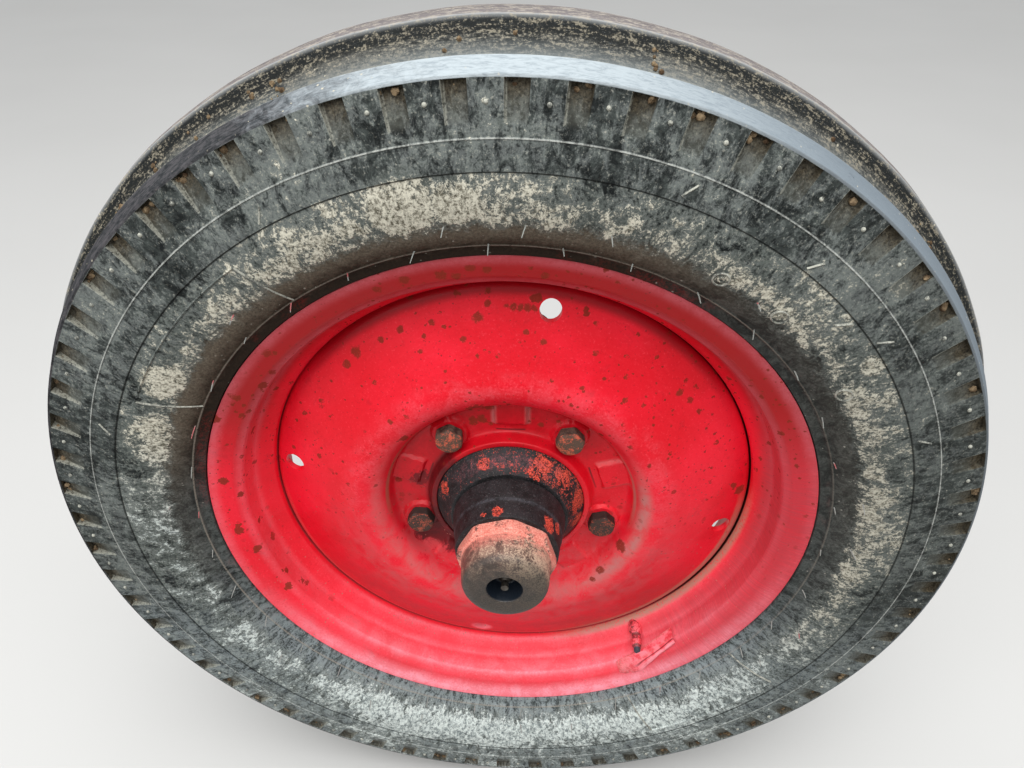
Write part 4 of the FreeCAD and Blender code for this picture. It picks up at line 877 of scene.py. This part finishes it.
def guard_paint():
    """A painted highlight along the bent edge of the plate, and dust along its other edges."""
    m = WheelShader("guard_paint")
    grain = m.noise(m.place, 0.7, 7, 0.78)
    mottle = m.noise(m.place, 0.14, 5, 0.7)
    across = m.node("ShaderNodeAttribute", attribute_name="across").outputs["Fac"]
    along = m.node("ShaderNodeAttribute", attribute_name="along").outputs["Fac"]
    paint = m.mix(m.rise(mottle, 0.4, 0.6), tone(222, 60, 74), tone(248, 122, 134))
    dust = m.maths("MAXIMUM", m.rise(across, 0.2, 0.08), m.rise(along, 0.3, 0.1))
    dust = m.maths("MAXIMUM", dust, m.times(m.band(across, 0.62, 0.7, 0.04), 0.8))
    paint = m.mix(m.times(dust, m.rise(grain, 0.36, 0.56), 0.5), paint, tone(190, 112, 106))
    fold = m.times(m.band(across, 0.78, 0.85, 0.02), m.rise(along, 0.2, 0.35))
    paint = m.mix(m.times(fold, 0.8), paint, tone(120, 14, 24))
    # painted highlight along the plate's bent outer edge
    bright = m.times(m.rise(across, 0.89, 0.94), m.rise(along, 0.25, 0.4), m.rise(mottle, 0.3, 0.5, 0.5, 1.0))
    paint = m.mix(m.times(bright, 0.85), paint, tone(252, 146, 158))
    return m.finish(paint, m.add(0.4, m.times(dust, 0.35)), m.bump(m.add(grain, mottle), 0.35), specular=0.4)


def pale_rubber():
    """Proud edges of the moulding, rubbed and dusty."""
    m = WheelShader("pale_rubber")
    grain = m.noise(m.place, 0.9, 6, 0.78)
    mottle = m.noise(m.place, 0.09, 6, 0.7)
    dusty = m.rise(m.add(m.times(grain, 0.5), m.times(mottle, 0.5)), 0.42, 0.56)
    colour = m.mix(dusty, tone(86, 88, 84), tone(178, 178, 166))
    return m.finish(colour, 0.75, m.bump(grain, 0.3), specular=0.3)


def hair_rubber():
    m = WheelShader("hair_rubber")
    grain = m.noise(m.place, 0.8, 4, 0.7)
    painted = m.rise(m.noise(m.place, 0.04, 2, 0.5), 0.6, 0.64)
    colour = m.mix(painted, m.mix(grain, tone(96, 98, 94), tone(176, 178, 172)), tone(176, 96, 96))
    return m.finish(colour, 0.7, m.bump(grain, 0.1))


def dried_mud():
    m = WheelShader("dried_mud")
    grain = m.noise(m.place, 0.9, 7, 0.8)
    mottle = m.noise(m.place, 0.12, 5, 0.7)
    colour = m.mix(m.rise(mottle, 0.35, 0.65), tone(78, 60, 44), tone(150, 130, 102))
    return m.finish(colour, 0.9, m.bump(grain, 0.6), specular=0.2)


RUBBER = tyre_rubber()
RED = red_paint()
IRON = greasy_iron()
CAP = worn_cap()
BOLT = rusty_bolt()
STEEL = worn_steel()
FORGED = forged_steel()
SEAL = seal_rubber()
VALVE = valve_paint()
GUARD = guard_paint()
PALE = pale_rubber()
HAIR = hair_rubber()
MUD = dried_mud()


def dress(node, material):
    """Give a CAD node its finished material."""
    thing = frame["nodes"][node]
    if not thing.material_slots:
        thing.data.materials.append(material)
    for place in thing.material_slots:
        place.material = material


# Tyre

def side_off(radius, bend=SIDE_BEND):
    """Distance of the sidewall from the tyre's middle."""
    radius = np.asarray(radius, float)
    return WIDEST_OFF - SIDE_BEND + np.sqrt(bend * bend - (radius - WIDEST) ** 2)


def on_side(radius, angle, proud=0.0):
    """Point of the tyre's outer sidewall, raised off it by proud."""
    return at(radius, MIDDLE - float(side_off(radius)) - proud, angle)


def tyre_half():
    """Rows from the crown to the bead: radius, distance from the middle, depth of the notch."""
    crown = [(CROWN_RADIUS - CROWN_DROP * (off / RIB_EDGE) ** 2, off, 0) for off in (0.0, 4.0, 8.0, 11.0)]
    tread = bent(crown + [
        (CROWN_RADIUS - CROWN_DROP, RIB_EDGE, 1.2),
        (RIB_SIDE_END, RIB_FOOT, 3.0),
        (GROOVE_FLOOR, GROOVE_INNER, 8.0),
        (GROOVE_FLOOR, GROOVE_OUTER, 6.0),
        (SHOULDER_TOP, SHOULDER_INNER, 1.2),
        (SHOULDER_RADIUS, SHOULDER_EDGE, 0.9),
        (NOTCH_TOP, NOTCH_TOP_OFF, 0),
    ], step=5.0, arc_points=4)
    rows = [(radius, off, 0.0) for radius, off in tread]
    fall = NOTCH_TOP - RING_LINE
    top_off = NOTCH_TOP_OFF
    ring_off = float(side_off(RING_LINE))
    for drop in (0.35, 1.5, 5.0, 10.0, 15.5, 21.0, 24.0, 26.5):
        share = drop / fall
        pocket = max(0.0, NOTCH_DEPTH * (1 - 1.2 * share))
        rows.append((NOTCH_TOP - drop, top_off + (ring_off - top_off) * share, pocket))
    # radius past a line on the sidewall, and how far the rubber stands off there
    relief = [(RING_LINE + rise, proud) for rise, proud in
              ((0.6, 0.0), (0.3, 0.5), (0.0, 0.6), (-0.4, 0.5), (-0.7, 0.0), (-6.0, 0.0), (-12.0, 0.0))]
    relief += [(STEP_LINE + rise, proud) for rise, proud in
               ((1.0, 0.0), (0.5, 0.0), (0.1, -0.4), (-0.4, -0.9), (-1.6, -0.9), (-4.0, -0.7))]
    relief += [(radius, proud) for radius, proud in
               ((269, -0.5), (264, -0.3), (259, -0.2), (254, -0.1), (249, 0), (244, 0), (239, 0), (235, 0))]
    relief += [(BEAD_LINE + rise, proud) for rise, proud in
               ((4.0, 0.0), (3.4, 0.0), (3.0, 0.5), (2.5, 0.6), (2.0, 0.5), (1.6, 0.0), (0.0, 0.0))]
    rows += [(radius, float(side_off(radius)) + proud, 0.0) for radius, proud in relief]
    # the bead round the rim: radius, depth
    for radius, depth in ((LIP_RADIUS + 3.0, -2.1), (LIP_RADIUS + 0.8, -1.4), (LIP_RADIUS + 0.6, 4.0),
                          (207.7, 8.7), (203.1, 12.3), (201.3, 26.6), (208.9, 26.6)):
        rows.append((radius, MIDDLE - depth, 0.0))
    return rows


def make_tyre():
    half = tyre_half()
    inner = SIDE_BEND - SIDE_WALL
    lining = [(radius, float(side_off(radius, inner))) for radius in (BEAD_LINE + SIDE_WALL, 255, 275, RING_LINE)]
    belt = GROOVE_FLOOR - 9.0
    lining += [(belt - 2.0, SHOULDER_INNER - 9.0), (belt, GROOVE_INNER), (belt, 0.0)]
    rows = [(radius, MIDDLE - off, pocket) for radius, off, pocket in half]
    rows += [(radius, MIDDLE - off, 0.0) for radius, off in lining]
    rows += [(radius, MIDDLE + off, 0.0) for radius, off in lining[-2::-1]]
    rows += [(radius, MIDDLE + off, -pocket) for radius, off, pocket in half[:0:-1]]
    # degrees from a notch's middle, and the share of its depth there
    wall = math.degrees(NOTCH_WIDTH / 2 / 312)
    columns = (
        (-wall - 0.07, 0.0),
        (-wall + 0.05, 1.0),
        (0.0, 1.0),
        (wall - 0.05, 1.0),
        (wall + 0.07, 0.0),
        (wall + 0.3, 0.0),
        (2.1, 0.0),
        (PITCH / 2, 0.0),
        (3.63, 0.0),
    )
    angles = np.array([NOTCH_TURN + PITCH * k + offset for k in range(NOTCHES) for offset, share in columns])
    shares = np.array([share for k in range(NOTCHES) for offset, share in columns])
    radii = np.array([row[0] for row in rows])[:, None] + np.zeros(len(angles))
    depths = np.array([row[1] for row in rows])[:, None] + np.zeros(len(angles))
    pockets = np.array([row[2] for row in rows])[:, None] * shares
    # each notch a little deeper or shallower, and the ribs worn unevenly
    chance = random.Random(7)
    uneven = np.repeat([chance.uniform(0.85, 1.08) for k in range(NOTCHES)], len(columns))
    depths = depths + pockets * uneven
    worn = np.clip((radii - CROWN_RADIUS + 20) / 20, 0, 1)
    radii = radii - worn * (0.45 + 0.35 * waver(angles, 3))
    pile = Pile()
    pile.add_grid(wheel_rings(radii, depths, angles), wrap_rows=True)
    pile.values["notch"] = (np.abs(pockets) / NOTCH_DEPTH).ravel()
    # the left edge of each notch, which gets a painted highlight
    left = np.array([float(abs(offset - wall) < 0.1) for k in range(NOTCHES) for offset, share in columns])
    pile.values["edge"] = (np.array([float(row[2] != 0) for row in rows])[:, None] * left).ravel()
    return pile.make("tyre_skin", RUBBER, replaces=["tyre"], sharp=38)


def lump(centre, size, chance, squash=(1, 1, 1), rings=5, columns=8):
    """Uneven rounded lump as rings of points."""
    found = []
    for row in range(rings):
        lift = math.pi * (row + 0.5) / rings
        ring = []
        for column in range(columns):
            turn = 2 * math.pi * column / columns
            reach = size * chance.uniform(0.75, 1.2)
            point = Vector((
                math.sin(lift) * math.cos(turn) * squash[0],
                math.cos(lift) * squash[1],
                math.sin(lift) * math.sin(turn) * squash[2],
            ))
            ring.append(centre + point * reach * MM)
        found.append(ring)
    return found


def make_nubs():
    """Small moulded nub in the middle of each block, on both shoulders."""
    pile = Pile()
    chance = random.Random(3)
    profile = ((1.4, 0.4), (1.3, -0.5), (0.9, -1.0), (0.4, -1.3))
    for side in (-1, 1):
        for k in range(NOTCHES):
            radius = 313.0 + chance.uniform(-1.5, 1.5)
            off = NOTCH_TOP_OFF + (NOTCH_TOP - radius) * 0.15
            angle = math.radians(NOTCH_TURN + PITCH * (k + 0.5) + chance.uniform(-0.2, 0.2))
            centre = (radius * math.cos(angle), radius * math.sin(angle))
            depths = [MIDDLE + side * (off - rise) for size, rise in profile]
            radii = [size for size, rise in profile]
            pile.add_grid(wheel_rings(radii, depths, evenly(10), centre))
    return pile.make("tyre_nubs", PALE)


def make_hairs():
    """Thin rubber hairs left by the mould's vents, in two rings on the outer sidewall."""
    pile = Pile()
    chance = random.Random(11)
    for ring_radius, pitch, first, kept in ((231.5, 10.6, 92.6, 1.0), (247.0, 10.9, 98.4, 0.6)):
        for k in range(round(360 / pitch)):
            if chance.random() > kept:
                continue
            angle = first + k * pitch + chance.uniform(-0.4, 0.4)
            length = chance.uniform(5.0, 9.5)
            root = on_side(ring_radius + chance.uniform(-1, 1), angle, -0.5)
            lean = Vector((chance.uniform(-0.3, 0.3), -1, chance.uniform(-0.55, 0.1))).normalized()
            rings = []
            for step in range(5):
                share = step / 4
                droop = Vector((0, 0, -1)) * share * share * 1.6
                centre = root + (lean * length * share + droop) * MM
                size = 0.5 - 0.22 * share
                rings.append([centre + Vector((math.cos(t), 0, math.sin(t))) * size * MM
                              for t in (0.3, 1.87, 3.44, 5.01)])
            pile.add_grid(rings)
    return pile.make("tyre_hairs", HAIR)


def raised_line(pile, path, width, proud):
    """Low rounded ridge on the sidewall along (radius, angle) points."""
    rings = []
    for index, (radius, angle) in enumerate(path):
        here = on_side(radius, angle)
        before = on_side(*path[max(index - 1, 0)])
        after = on_side(*path[min(index + 1, len(path) - 1)])
        along = (after - before).normalized()
        out = (on_side(radius, angle, 1) - here).normalized()
        across = along.cross(out).normalized()
        ring = []
        for share, lift in ((-0.5, -0.6), (-0.4, 0.5), (0.0, 1.0), (0.4, 0.5), (0.5, -0.6)):
            ring.append(here + (across * width * share + out * proud * lift) * MM)
        rings.append(ring)
    pile.add_grid(rings)


def straight(start, end, count=10):
    return [tuple(np.array(start) + (np.array(end) - np.array(start)) * k / (count - 1)) for k in range(count)]


# where the bare panels on the sidewall start and end, in degrees
PANELS = ((124.6, 152.6), (-62.0, -36.0))


def make_side_marks():
    """Ridges round the bare panels, short ticks beside the step, three knots and the bead's line."""
    pale = Pile()
    for low, high in PANELS:
        for angle in (low, high):
            raised_line(pale, straight((230.5, angle - 0.8), (268.6, angle + 0.6)), 1.5, 0.7)
    dark = Pile()
    for radius, angle in ((247.5, 60.9), (249.0, 50.8), (249.6, 33.8)):
        for pile, size, width in ((pale, 4.6, 1.5), (dark, 1.6, 1.4)):
            turn = np.radians(evenly(16))
            loop = [(radius + size * math.sin(t), angle + math.degrees(size * math.cos(t) / radius)) for t in turn]
            raised_line(pile, loop + loop[:1], width, 1.0)
    for radius, angle in ((284, 53.5), (284, 39.4), (272, 44.8), (286, 70.5), (285, 22.0), (285, 118.0), (285, 160.0)):
        raised_line(pale, straight((radius - 4, angle + 0.6), (radius + 4, angle - 0.6), 4), 1.3, 0.9)
    pale.make("tyre_side_ridges", PALE)
    for low, high in PANELS:
        raised_line(dark, straight((269.0, low + 0.6), (269.0, high + 0.6), 24), 1.3, 0.7)
    dark.make("tyre_knots", RUBBER)


def make_mud():
    """Clods of dried mud under the shoulder rib's edge and beside the centre rib."""
    pile = Pile()
    chance = random.Random(23)
    for k in range(NOTCHES):
        for side in (-1, 1):
            for count in range(chance.choice((0, 1, 2, 4, 6))):
                angle = NOTCH_TURN + PITCH * k + chance.uniform(-1.6, 1.6)
                radius = NOTCH_TOP - chance.uniform(0.8, 5.0)
                off = NOTCH_TOP_OFF - 3.4 + chance.uniform(-1.0, 1.6)
                centre = at(radius, MIDDLE + side * off, angle)
                pile.add_grid(lump(centre, chance.uniform(0.7, 2.5), chance, (1, 0.7, 1)))
    # crumbs on the slope from the centre rib down into the groove, many together in places
    for heap in range(90):
        side = chance.choice((-1, 1))
        middle = chance.uniform(0, 360)
        for count in range(chance.choice((1, 1, 2, 4, 7))):
            share = chance.random() ** 1.5
            off = RIB_FOOT - 1.0 + 7.5 * share
            radius = RIB_SIDE_END + 1.3 - 8.5 * share
            centre = at(radius, MIDDLE + side * off, middle + chance.uniform(-1.0, 1.0))
            pile.add_grid(lump(centre, chance.uniform(0.4, 1.5), chance, (1.2, 0.7, 1.2)))
    return pile.make("tyre_mud", MUD)


make_tyre()
make_nubs()
make_hairs()
make_side_marks()
make_mud()

# Rim, disc, hub and fastenings

dress("rim", RED)
dress("stub_axle", FORGED)
dress("thrust_washer", STEEL)
dress("outer_bearing", STEEL)
dress("inner_bearing", STEEL)
dress("hub_seal", SEAL)
dress("cap_grease_nipple", STEEL)

BOLT_FACE = 34.0
BOLT_CIRCLE = 75.0
BOLT_TURN = 54.6
HEAD_TURNS = (10, 30, 0, 45, 15)
CENTRE_HOLE = 56.65
DISC_WALL = 5.0
CREST = (113.0, 33.0)
CREST_BEND = 20.0
CREST_FOOT = 91.35
SKIRT = LIP_RADIUS - 38.15
SKIRT_START = 45.8
SKIRT_END = 60.0
SHOULDER_BEND = 8.0
WALL_ANGLE = 200.0
BAND_ANGLE = 292.29
HAND_HOLE = (HAND_HOLE_RADIUS, 81.0, 7.5)


def arc(centre, bend, start, end, count):
    turn = np.radians(np.linspace(start, end, count))
    return np.stack([centre[0] + bend * np.cos(turn), centre[1] + bend * np.sin(turn)], axis=-1)


def pressed(wall):
    """Crest, band and shoulder of the disc's side that lies a wall's thickness inside the outer one."""
    crest = arc(CREST, CREST_BEND - wall, WALL_ANGLE, BAND_ANGLE, 22)
    shoulder = arc((SKIRT - SHOULDER_BEND, SKIRT_START), SHOULDER_BEND - wall, BAND_ANGLE, 360, 7)
    run = crest[-1] + (shoulder[0] - crest[-1]) * np.linspace(0, 1, 22)[1:-1, None]
    return np.concatenate([crest, run, shoulder])


def soft_step(value, low, high):
    share = np.clip((value - low) / (high - low), 0, 1)
    return share * share * (3 - 2 * share)


def press_marks(radius, angles):
    """How far, of the whole rise, the raised pads and the bolts' seats stand at each place of the bolt face."""
    total = np.zeros(len(angles))
    for k in range(5):
        turn = np.radians(angles - 90 - 72 * k)
        across = np.abs(radius * np.sin(turn))
        up = radius * np.cos(turn)
        pad = soft_step(across, 13.0, 10.8) * soft_step(up, 70.0, 72.4)
        turn = np.radians(angles - BOLT_TURN - 72 * k)
        away = np.hypot(radius * np.cos(turn) - BOLT_CIRCLE, radius * np.sin(turn))
        total = np.maximum(total, np.maximum(pad, soft_step(away, 14.6, 13.0)))
    return total


# shallow dents: radius, angle, size, depth
DENTS = (
    (150.0, 12.0, 16.0, 0.9),
    (128.0, -24.0, 14.0, 0.7),
    (160.0, 146.0, 18.0, 0.8),
    (136.0, 205.0, 20.0, 0.7),
    (150.0, 60.0, 22.0, 0.6),
    (118.0, 104.0, 12.0, 0.5),
)


def make_disc():
    lip_end = BOLT_FACE - 10.0
    face = bent([
        (CENTRE_HOLE, lip_end + 6.0, 0),
        (CENTRE_HOLE, lip_end, 0.8),
        (CENTRE_HOLE + 4.0, lip_end, 1.4),
        (CENTRE_HOLE + 7.3, BOLT_FACE, 4.0),
        (CREST_FOOT, BOLT_FACE, 6.0),
        (*pressed(0)[0], 0),
    ], step=1.3)
    front = np.concatenate([face, pressed(0)[1:], [(SKIRT, SKIRT_END - 0.5), (SKIRT - 0.5, SKIRT_END)]])
    behind = pressed(DISC_WALL)[::-1]
    back = bent([
        (*behind[-1], 0),
        (CREST_FOOT - 2.5, BOLT_FACE + DISC_WALL, 11.0),
        (CENTRE_HOLE, BOLT_FACE + DISC_WALL, 0),
    ], step=6.0)
    back = np.concatenate([[(SKIRT - DISC_WALL, SKIRT_END)], behind, back[1:]])
    angles = evenly(480)
    rows = np.concatenate([front, back])
    radii = rows[:, :1] + np.zeros(len(angles))
    depths = rows[:, 1:] + np.zeros(len(angles))
    for row in range(len(front)):
        radius, depth = rows[row]
        if CENTRE_HOLE + 5.0 < radius < CREST_FOOT + 3.0:
            depths[row] = np.minimum(depth, BOLT_FACE - 3.0 * press_marks(radius, angles))
        loose = float(soft_step(radius, 96.0, 108.0) * soft_step(radius, 180.0, 172.0))
        depths[row] += loose * 0.35 * waver(angles + radius * 0.2, 9, (2, 3, 5, 8))
        for dent_radius, turn, size, dip in DENTS:
            away = np.hypot((angles - turn + 180) % 360 * (radius / 57.3) - 180 * (radius / 57.3), radius - dent_radius)
            depths[row] += loose * dip * np.exp(-(away / size) ** 2)
    pile = Pile()
    pile.add_grid(wheel_rings(radii, depths, angles), wrap_rows=True)
    holes = Pile()
    circle, first, size = HAND_HOLE
    places = [(circle, first + 90 * k, size) for k in range(4)]
    places += [(BOLT_CIRCLE, BOLT_TURN + 72 * k, 6.6) for k in range(5)]
    for circle, turn, size in places:
        centre = (circle * math.cos(math.radians(turn)), circle * math.sin(math.radians(turn)))
        holes.add_grid(wheel_rings([size, size], [10.0, 70.0], evenly(40) + 2.0, centre))
    return pile.make("disc_pressing", RED, replaces=["disc"], holes=holes)


def make_valve():
    """Stem in its rubber boot, leaning out of the rim, with a waist and a dark tip."""
    # depth, radius from the axis, angle, size
    path = (
        (52.0, 190.5, -54.8, 4.0), (37.0, 190.5, -54.8, 4.0), (35.0, 190.7, -54.8, 5.0), (31.5, 191.2, -54.7, 5.7),
        (28.0, 191.8, -54.7, 5.6), (25.8, 192.3, -54.7, 4.8), (24.2, 192.7, -54.8, 3.6), (22.6, 193.1, -54.9, 3.7),
        (20.4, 193.6, -55.0, 4.3), (17.0, 194.3, -55.1, 4.3), (14.8, 194.7, -55.2, 3.7), (13.6, 194.9, -55.2, 2.9),
        (10.2, 195.5, -55.3, 2.8), (9.6, 195.6, -55.3, 2.2),
    )
    rings = []
    for depth, circle, angle, size in path:
        turn = math.radians(angle)
        centre = (circle * math.cos(turn), circle * math.sin(turn))
        rings.append(wheel_rings([size], [depth], evenly(28), centre)[0])
    pile = Pile()
    pile.add_grid(rings)
    return pile.make("valve_boot", VALVE, replaces=["valve_stem"])


def make_guard():
    """Bent plate, ragged at its left end, lying askew on the bead seat and the flange."""
    chance = random.Random(5)
    ends = (-61.8, -57.0, -45.0)
    shares = np.linspace(0, 1, 17)
    pile = Pile()
    pile.values["across"] = []
    pile.values["along"] = []
    rings = []
    for angle in np.linspace(ends[0], ends[-1], 48):
        ragged = chance.uniform(-0.7, 0.7) * float(soft_step(angle, -56.0, -61.0))
        first = np.interp(angle, ends, (8.8, 12.0, 20.0)) + ragged
        last = np.interp(angle, ends, (4.2, 2.6, 7.0)) - ragged
        upper = []
        lower = []
        for share in shares:
            depth = first + (last - first) * share
            curl = 1.6 * float(soft_step(share, 0.78, 0.9) * soft_step(angle, -58.0, -54.0))
            rim = float(np.interp(depth, (0.0, 5.0, 10.0, 25.0), (LIP_RADIUS, 205.5, 199.3, 197.5)))
            proud = float(np.interp(angle, ends, (1.9, 2.0, 3.0))) + curl
            upper.append(at(rim - proud, depth - proud * 0.25, angle))
            lower.append(at(rim - proud + 1.5, depth - proud * 0.25 + 0.4, angle))
        rings.append(upper + lower[::-1])
        pile.values["across"] += [*shares, *shares[::-1]]
        pile.values["along"] += [(angle - ends[0]) / (ends[-1] - ends[0])] * len(rings[-1])
    pile.add_grid(rings)
    return pile.make("guard_plate", GUARD, replaces=["valve_guard"], sharp=50)


def make_hub():
    section = bent([
        (31.15, -27.0, 0),
        (37.2, -27.0, 0.8),
        (39.2, -11.9, 0),
        (39.75, -11.0, 0),
        (42.3, 6.0, 0.9),
        (40.8, 6.2, 0),
        (40.8, 8.0, 0),
        (44.0, 8.0, 0.9),
        (56.5, 25.5, 2.2),
        (56.5, 39.0, 0),
        (96.0, 39.0, 1.2),
        (96.0, 53.0, 2.5),
        (54.0, 53.0, 5.0),
        (51.0, 102.0, 2.0),
        (42.65, 102.0, 0.5),
        (42.65, 73.0, 0),
        (28.0, 73.0, 0),
        (28.0, 14.0, 0),
        (31.15, 14.0, 0),
    ], step=4.0)
    angles = evenly(180)
    swell = 1 + 0.0016 * waver(angles, 5)
    radii = section[:, :1] * swell
    pile = Pile()
    pile.add_grid(wheel_rings(radii, section[:, 1], angles), wrap_rows=True)
    return pile.make("hub_casting", IRON, replaces=["hub"])


def polygon_radius(angles, sides, corner, turn):
    """Radius of a polygon's edge at each angle."""
    step = 360 / sides
    flat = corner * math.cos(math.radians(step / 2))
    away = (np.asarray(angles) - turn) % step - step / 2
    return flat / np.cos(np.radians(away))


def make_cap():
    angles = evenly(192)
    grip = polygon_radius(angles, 8, 36.0, 84.5)
    limits = ((-26.0, 34.2), (-27.05, 34.9), (-27.7, 35.6), (-33.6, 35.7), (-34.6, 34.9), (-35.3, 33.8), (-35.6, 32.4))
    radii = [np.minimum(grip, limit) for depth, limit in limits]
    depths = [depth for depth, limit in limits]
    barrel = bent([
        (32.0, -36.0, 0),
        (30.0, -60.0, 9.0),
        (12.6, -60.0, 1.6),
        (9.5, -45.0, 2.0),
        (3.2, -45.0, 0),
    ], step=3.0, arc_points=7)
    radii += [np.full(len(angles), radius) for radius, depth in barrel]
    depths += [depth for radius, depth in barrel]
    pile = Pile()
    pile.add_grid(wheel_rings(np.array(radii), depths, angles))
    return pile.make("cap_shell", CAP, replaces=["hub_cap"])


def make_bolts():
    angles = evenly(96)
    for number, head_turn in enumerate(HEAD_TURNS):
        turn = math.radians(BOLT_TURN + 72 * number)
        centre = (BOLT_CIRCLE * math.cos(turn), BOLT_CIRCLE * math.sin(turn))
        hexagon = polygon_radius(angles, 6, 9.5 / math.cos(math.radians(30)), head_turn)
        # depth, and the circle that the head is trimmed to there
        trims = ((21.75, 2.0), (21.85, 6.0), (22.1, 8.4), (22.6, 9.5), (23.3, 10.2), (24.4, 10.6), (30.6, 10.75), (31.0, 10.4))
        radii = [np.minimum(hexagon, limit) for depth, limit in trims]
        depths = [depth for depth, limit in trims]
        for depth, radius in ((31.0, 6.0), (44.0, 6.0), (56.2, 6.0), (57.0, 5.2)):
            radii.append(np.full(len(angles), radius))
            depths.append(depth)
        pile = Pile()
        pile.add_grid(wheel_rings(np.array(radii), depths, angles, centre))
        name = f"wheel_bolt_{number + 1}"
        pile.make(name + "_head", BOLT, replaces=[name], sharp=40)


make_disc()
make_valve()
make_guard()
make_hub()
make_cap()
make_bolts()

# Stage, lights and camera

FLOOR_HALF = 20.0


def stage_material():
    """Pale to the eye and in reflections, and no brighter than gravel in the light that it throws up."""
    m = Shader("pale_floor")
    cloud = m.noise(m.place, 0.002, 3, 0.5)
    pale = m.mix(cloud, (0.56, 0.555, 0.54, 1), (0.6, 0.595, 0.58, 1))
    rays = m.node("ShaderNodeLightPath").outputs
    seen = m.maths("MAXIMUM", rays["Is Camera Ray"], m.maths("MAXIMUM", rays["Is Glossy Ray"], rays["Is Transmission Ray"]))
    colour = m.mix(seen, (0.27, 0.26, 0.25, 1), pale)
    return m.finish(colour, 0.9, m.bump(cloud, 0.1), specular=0.1)


def make_stage():
    mesh = bpy.data.meshes.new("floor")
    corners = [(-FLOOR_HALF, -FLOOR_HALF), (FLOOR_HALF, -FLOOR_HALF), (FLOOR_HALF, FLOOR_HALF), (-FLOOR_HALF, FLOOR_HALF)]
    mesh.from_pydata([(x, y, FLOOR) for x, y in corners], [], [(0, 1, 2, 3)])
    mesh.materials.append(stage_material())
    floor = bpy.data.objects.new("floor", mesh)
    bpy.context.scene.collection.objects.link(floor)


def make_sky():
    """Overcast sky, brighter overhead than at the horizon."""
    world = bpy.data.worlds.new("overcast")
    world.use_nodes = True
    tree = world.node_tree
    way = tree.nodes.new("ShaderNodeTexCoord").outputs["Generated"]
    parts = tree.nodes.new("ShaderNodeSeparateXYZ")
    tree.links.new(way, parts.inputs[0])
    level = tree.nodes.new("ShaderNodeMapRange")
    tree.links.new(parts.outputs[2], level.inputs["Value"])
    level.inputs["From Min"].default_value = -0.1
    level.inputs["From Max"].default_value = 0.9
    level.inputs["To Min"].default_value = 0.42
    level.inputs["To Max"].default_value = 0.95
    background = tree.nodes["Background"]
    tree.links.new(level.outputs[0], background.inputs["Strength"])
    background.inputs["Color"].default_value = (0.97, 0.985, 1.0, 1)
    bpy.context.scene.world = world


# name, place, size and power of each soft light, aimed at the wheel's middle
LIGHTS = (
    ("overhead", (0.1, -1.1, 2.45), 3.0, 80.0),
    ("front_left", (-1.8, -1.8, 1.2), 1.8, 16.0),
)


def make_lights():
    for name, place, size, power in LIGHTS:
        data = bpy.data.lights.new(name, "AREA")
        data.shape = "DISK"
        data.size = size
        data.energy = power
        lamp = bpy.data.objects.new(name, data)
        lamp.location = place
        lamp.rotation_euler = (AXIS - Vector(place)).to_track_quat("-Z", "Y").to_euler()
        bpy.context.scene.collection.objects.link(lamp)


CAMERA_PLACE = (0.0207, -0.5866, 0.3595)
CAMERA_TILT = 54.17
CAMERA_TURN = 2.6
CAMERA_LENS = 27.07
SENSOR_WIDTH = 36.0


def make_camera():
    data = bpy.data.cameras.new("camera")
    data.sensor_width = SENSOR_WIDTH
    data.lens = CAMERA_LENS
    data.clip_start = 0.01
    data.clip_end = 100.0
    camera = bpy.data.objects.new("camera", data)
    camera.location = CAMERA_PLACE
    camera.rotation_euler = (math.radians(CAMERA_TILT), 0, math.radians(CAMERA_TURN))
    bpy.context.scene.collection.objects.link(camera)
    bpy.context.scene.camera = camera


make_stage()
make_sky()
make_lights()
make_camera()
bpy.context.scene.view_settings.view_transform = "Standard"

bpy.context.view_layer.update()
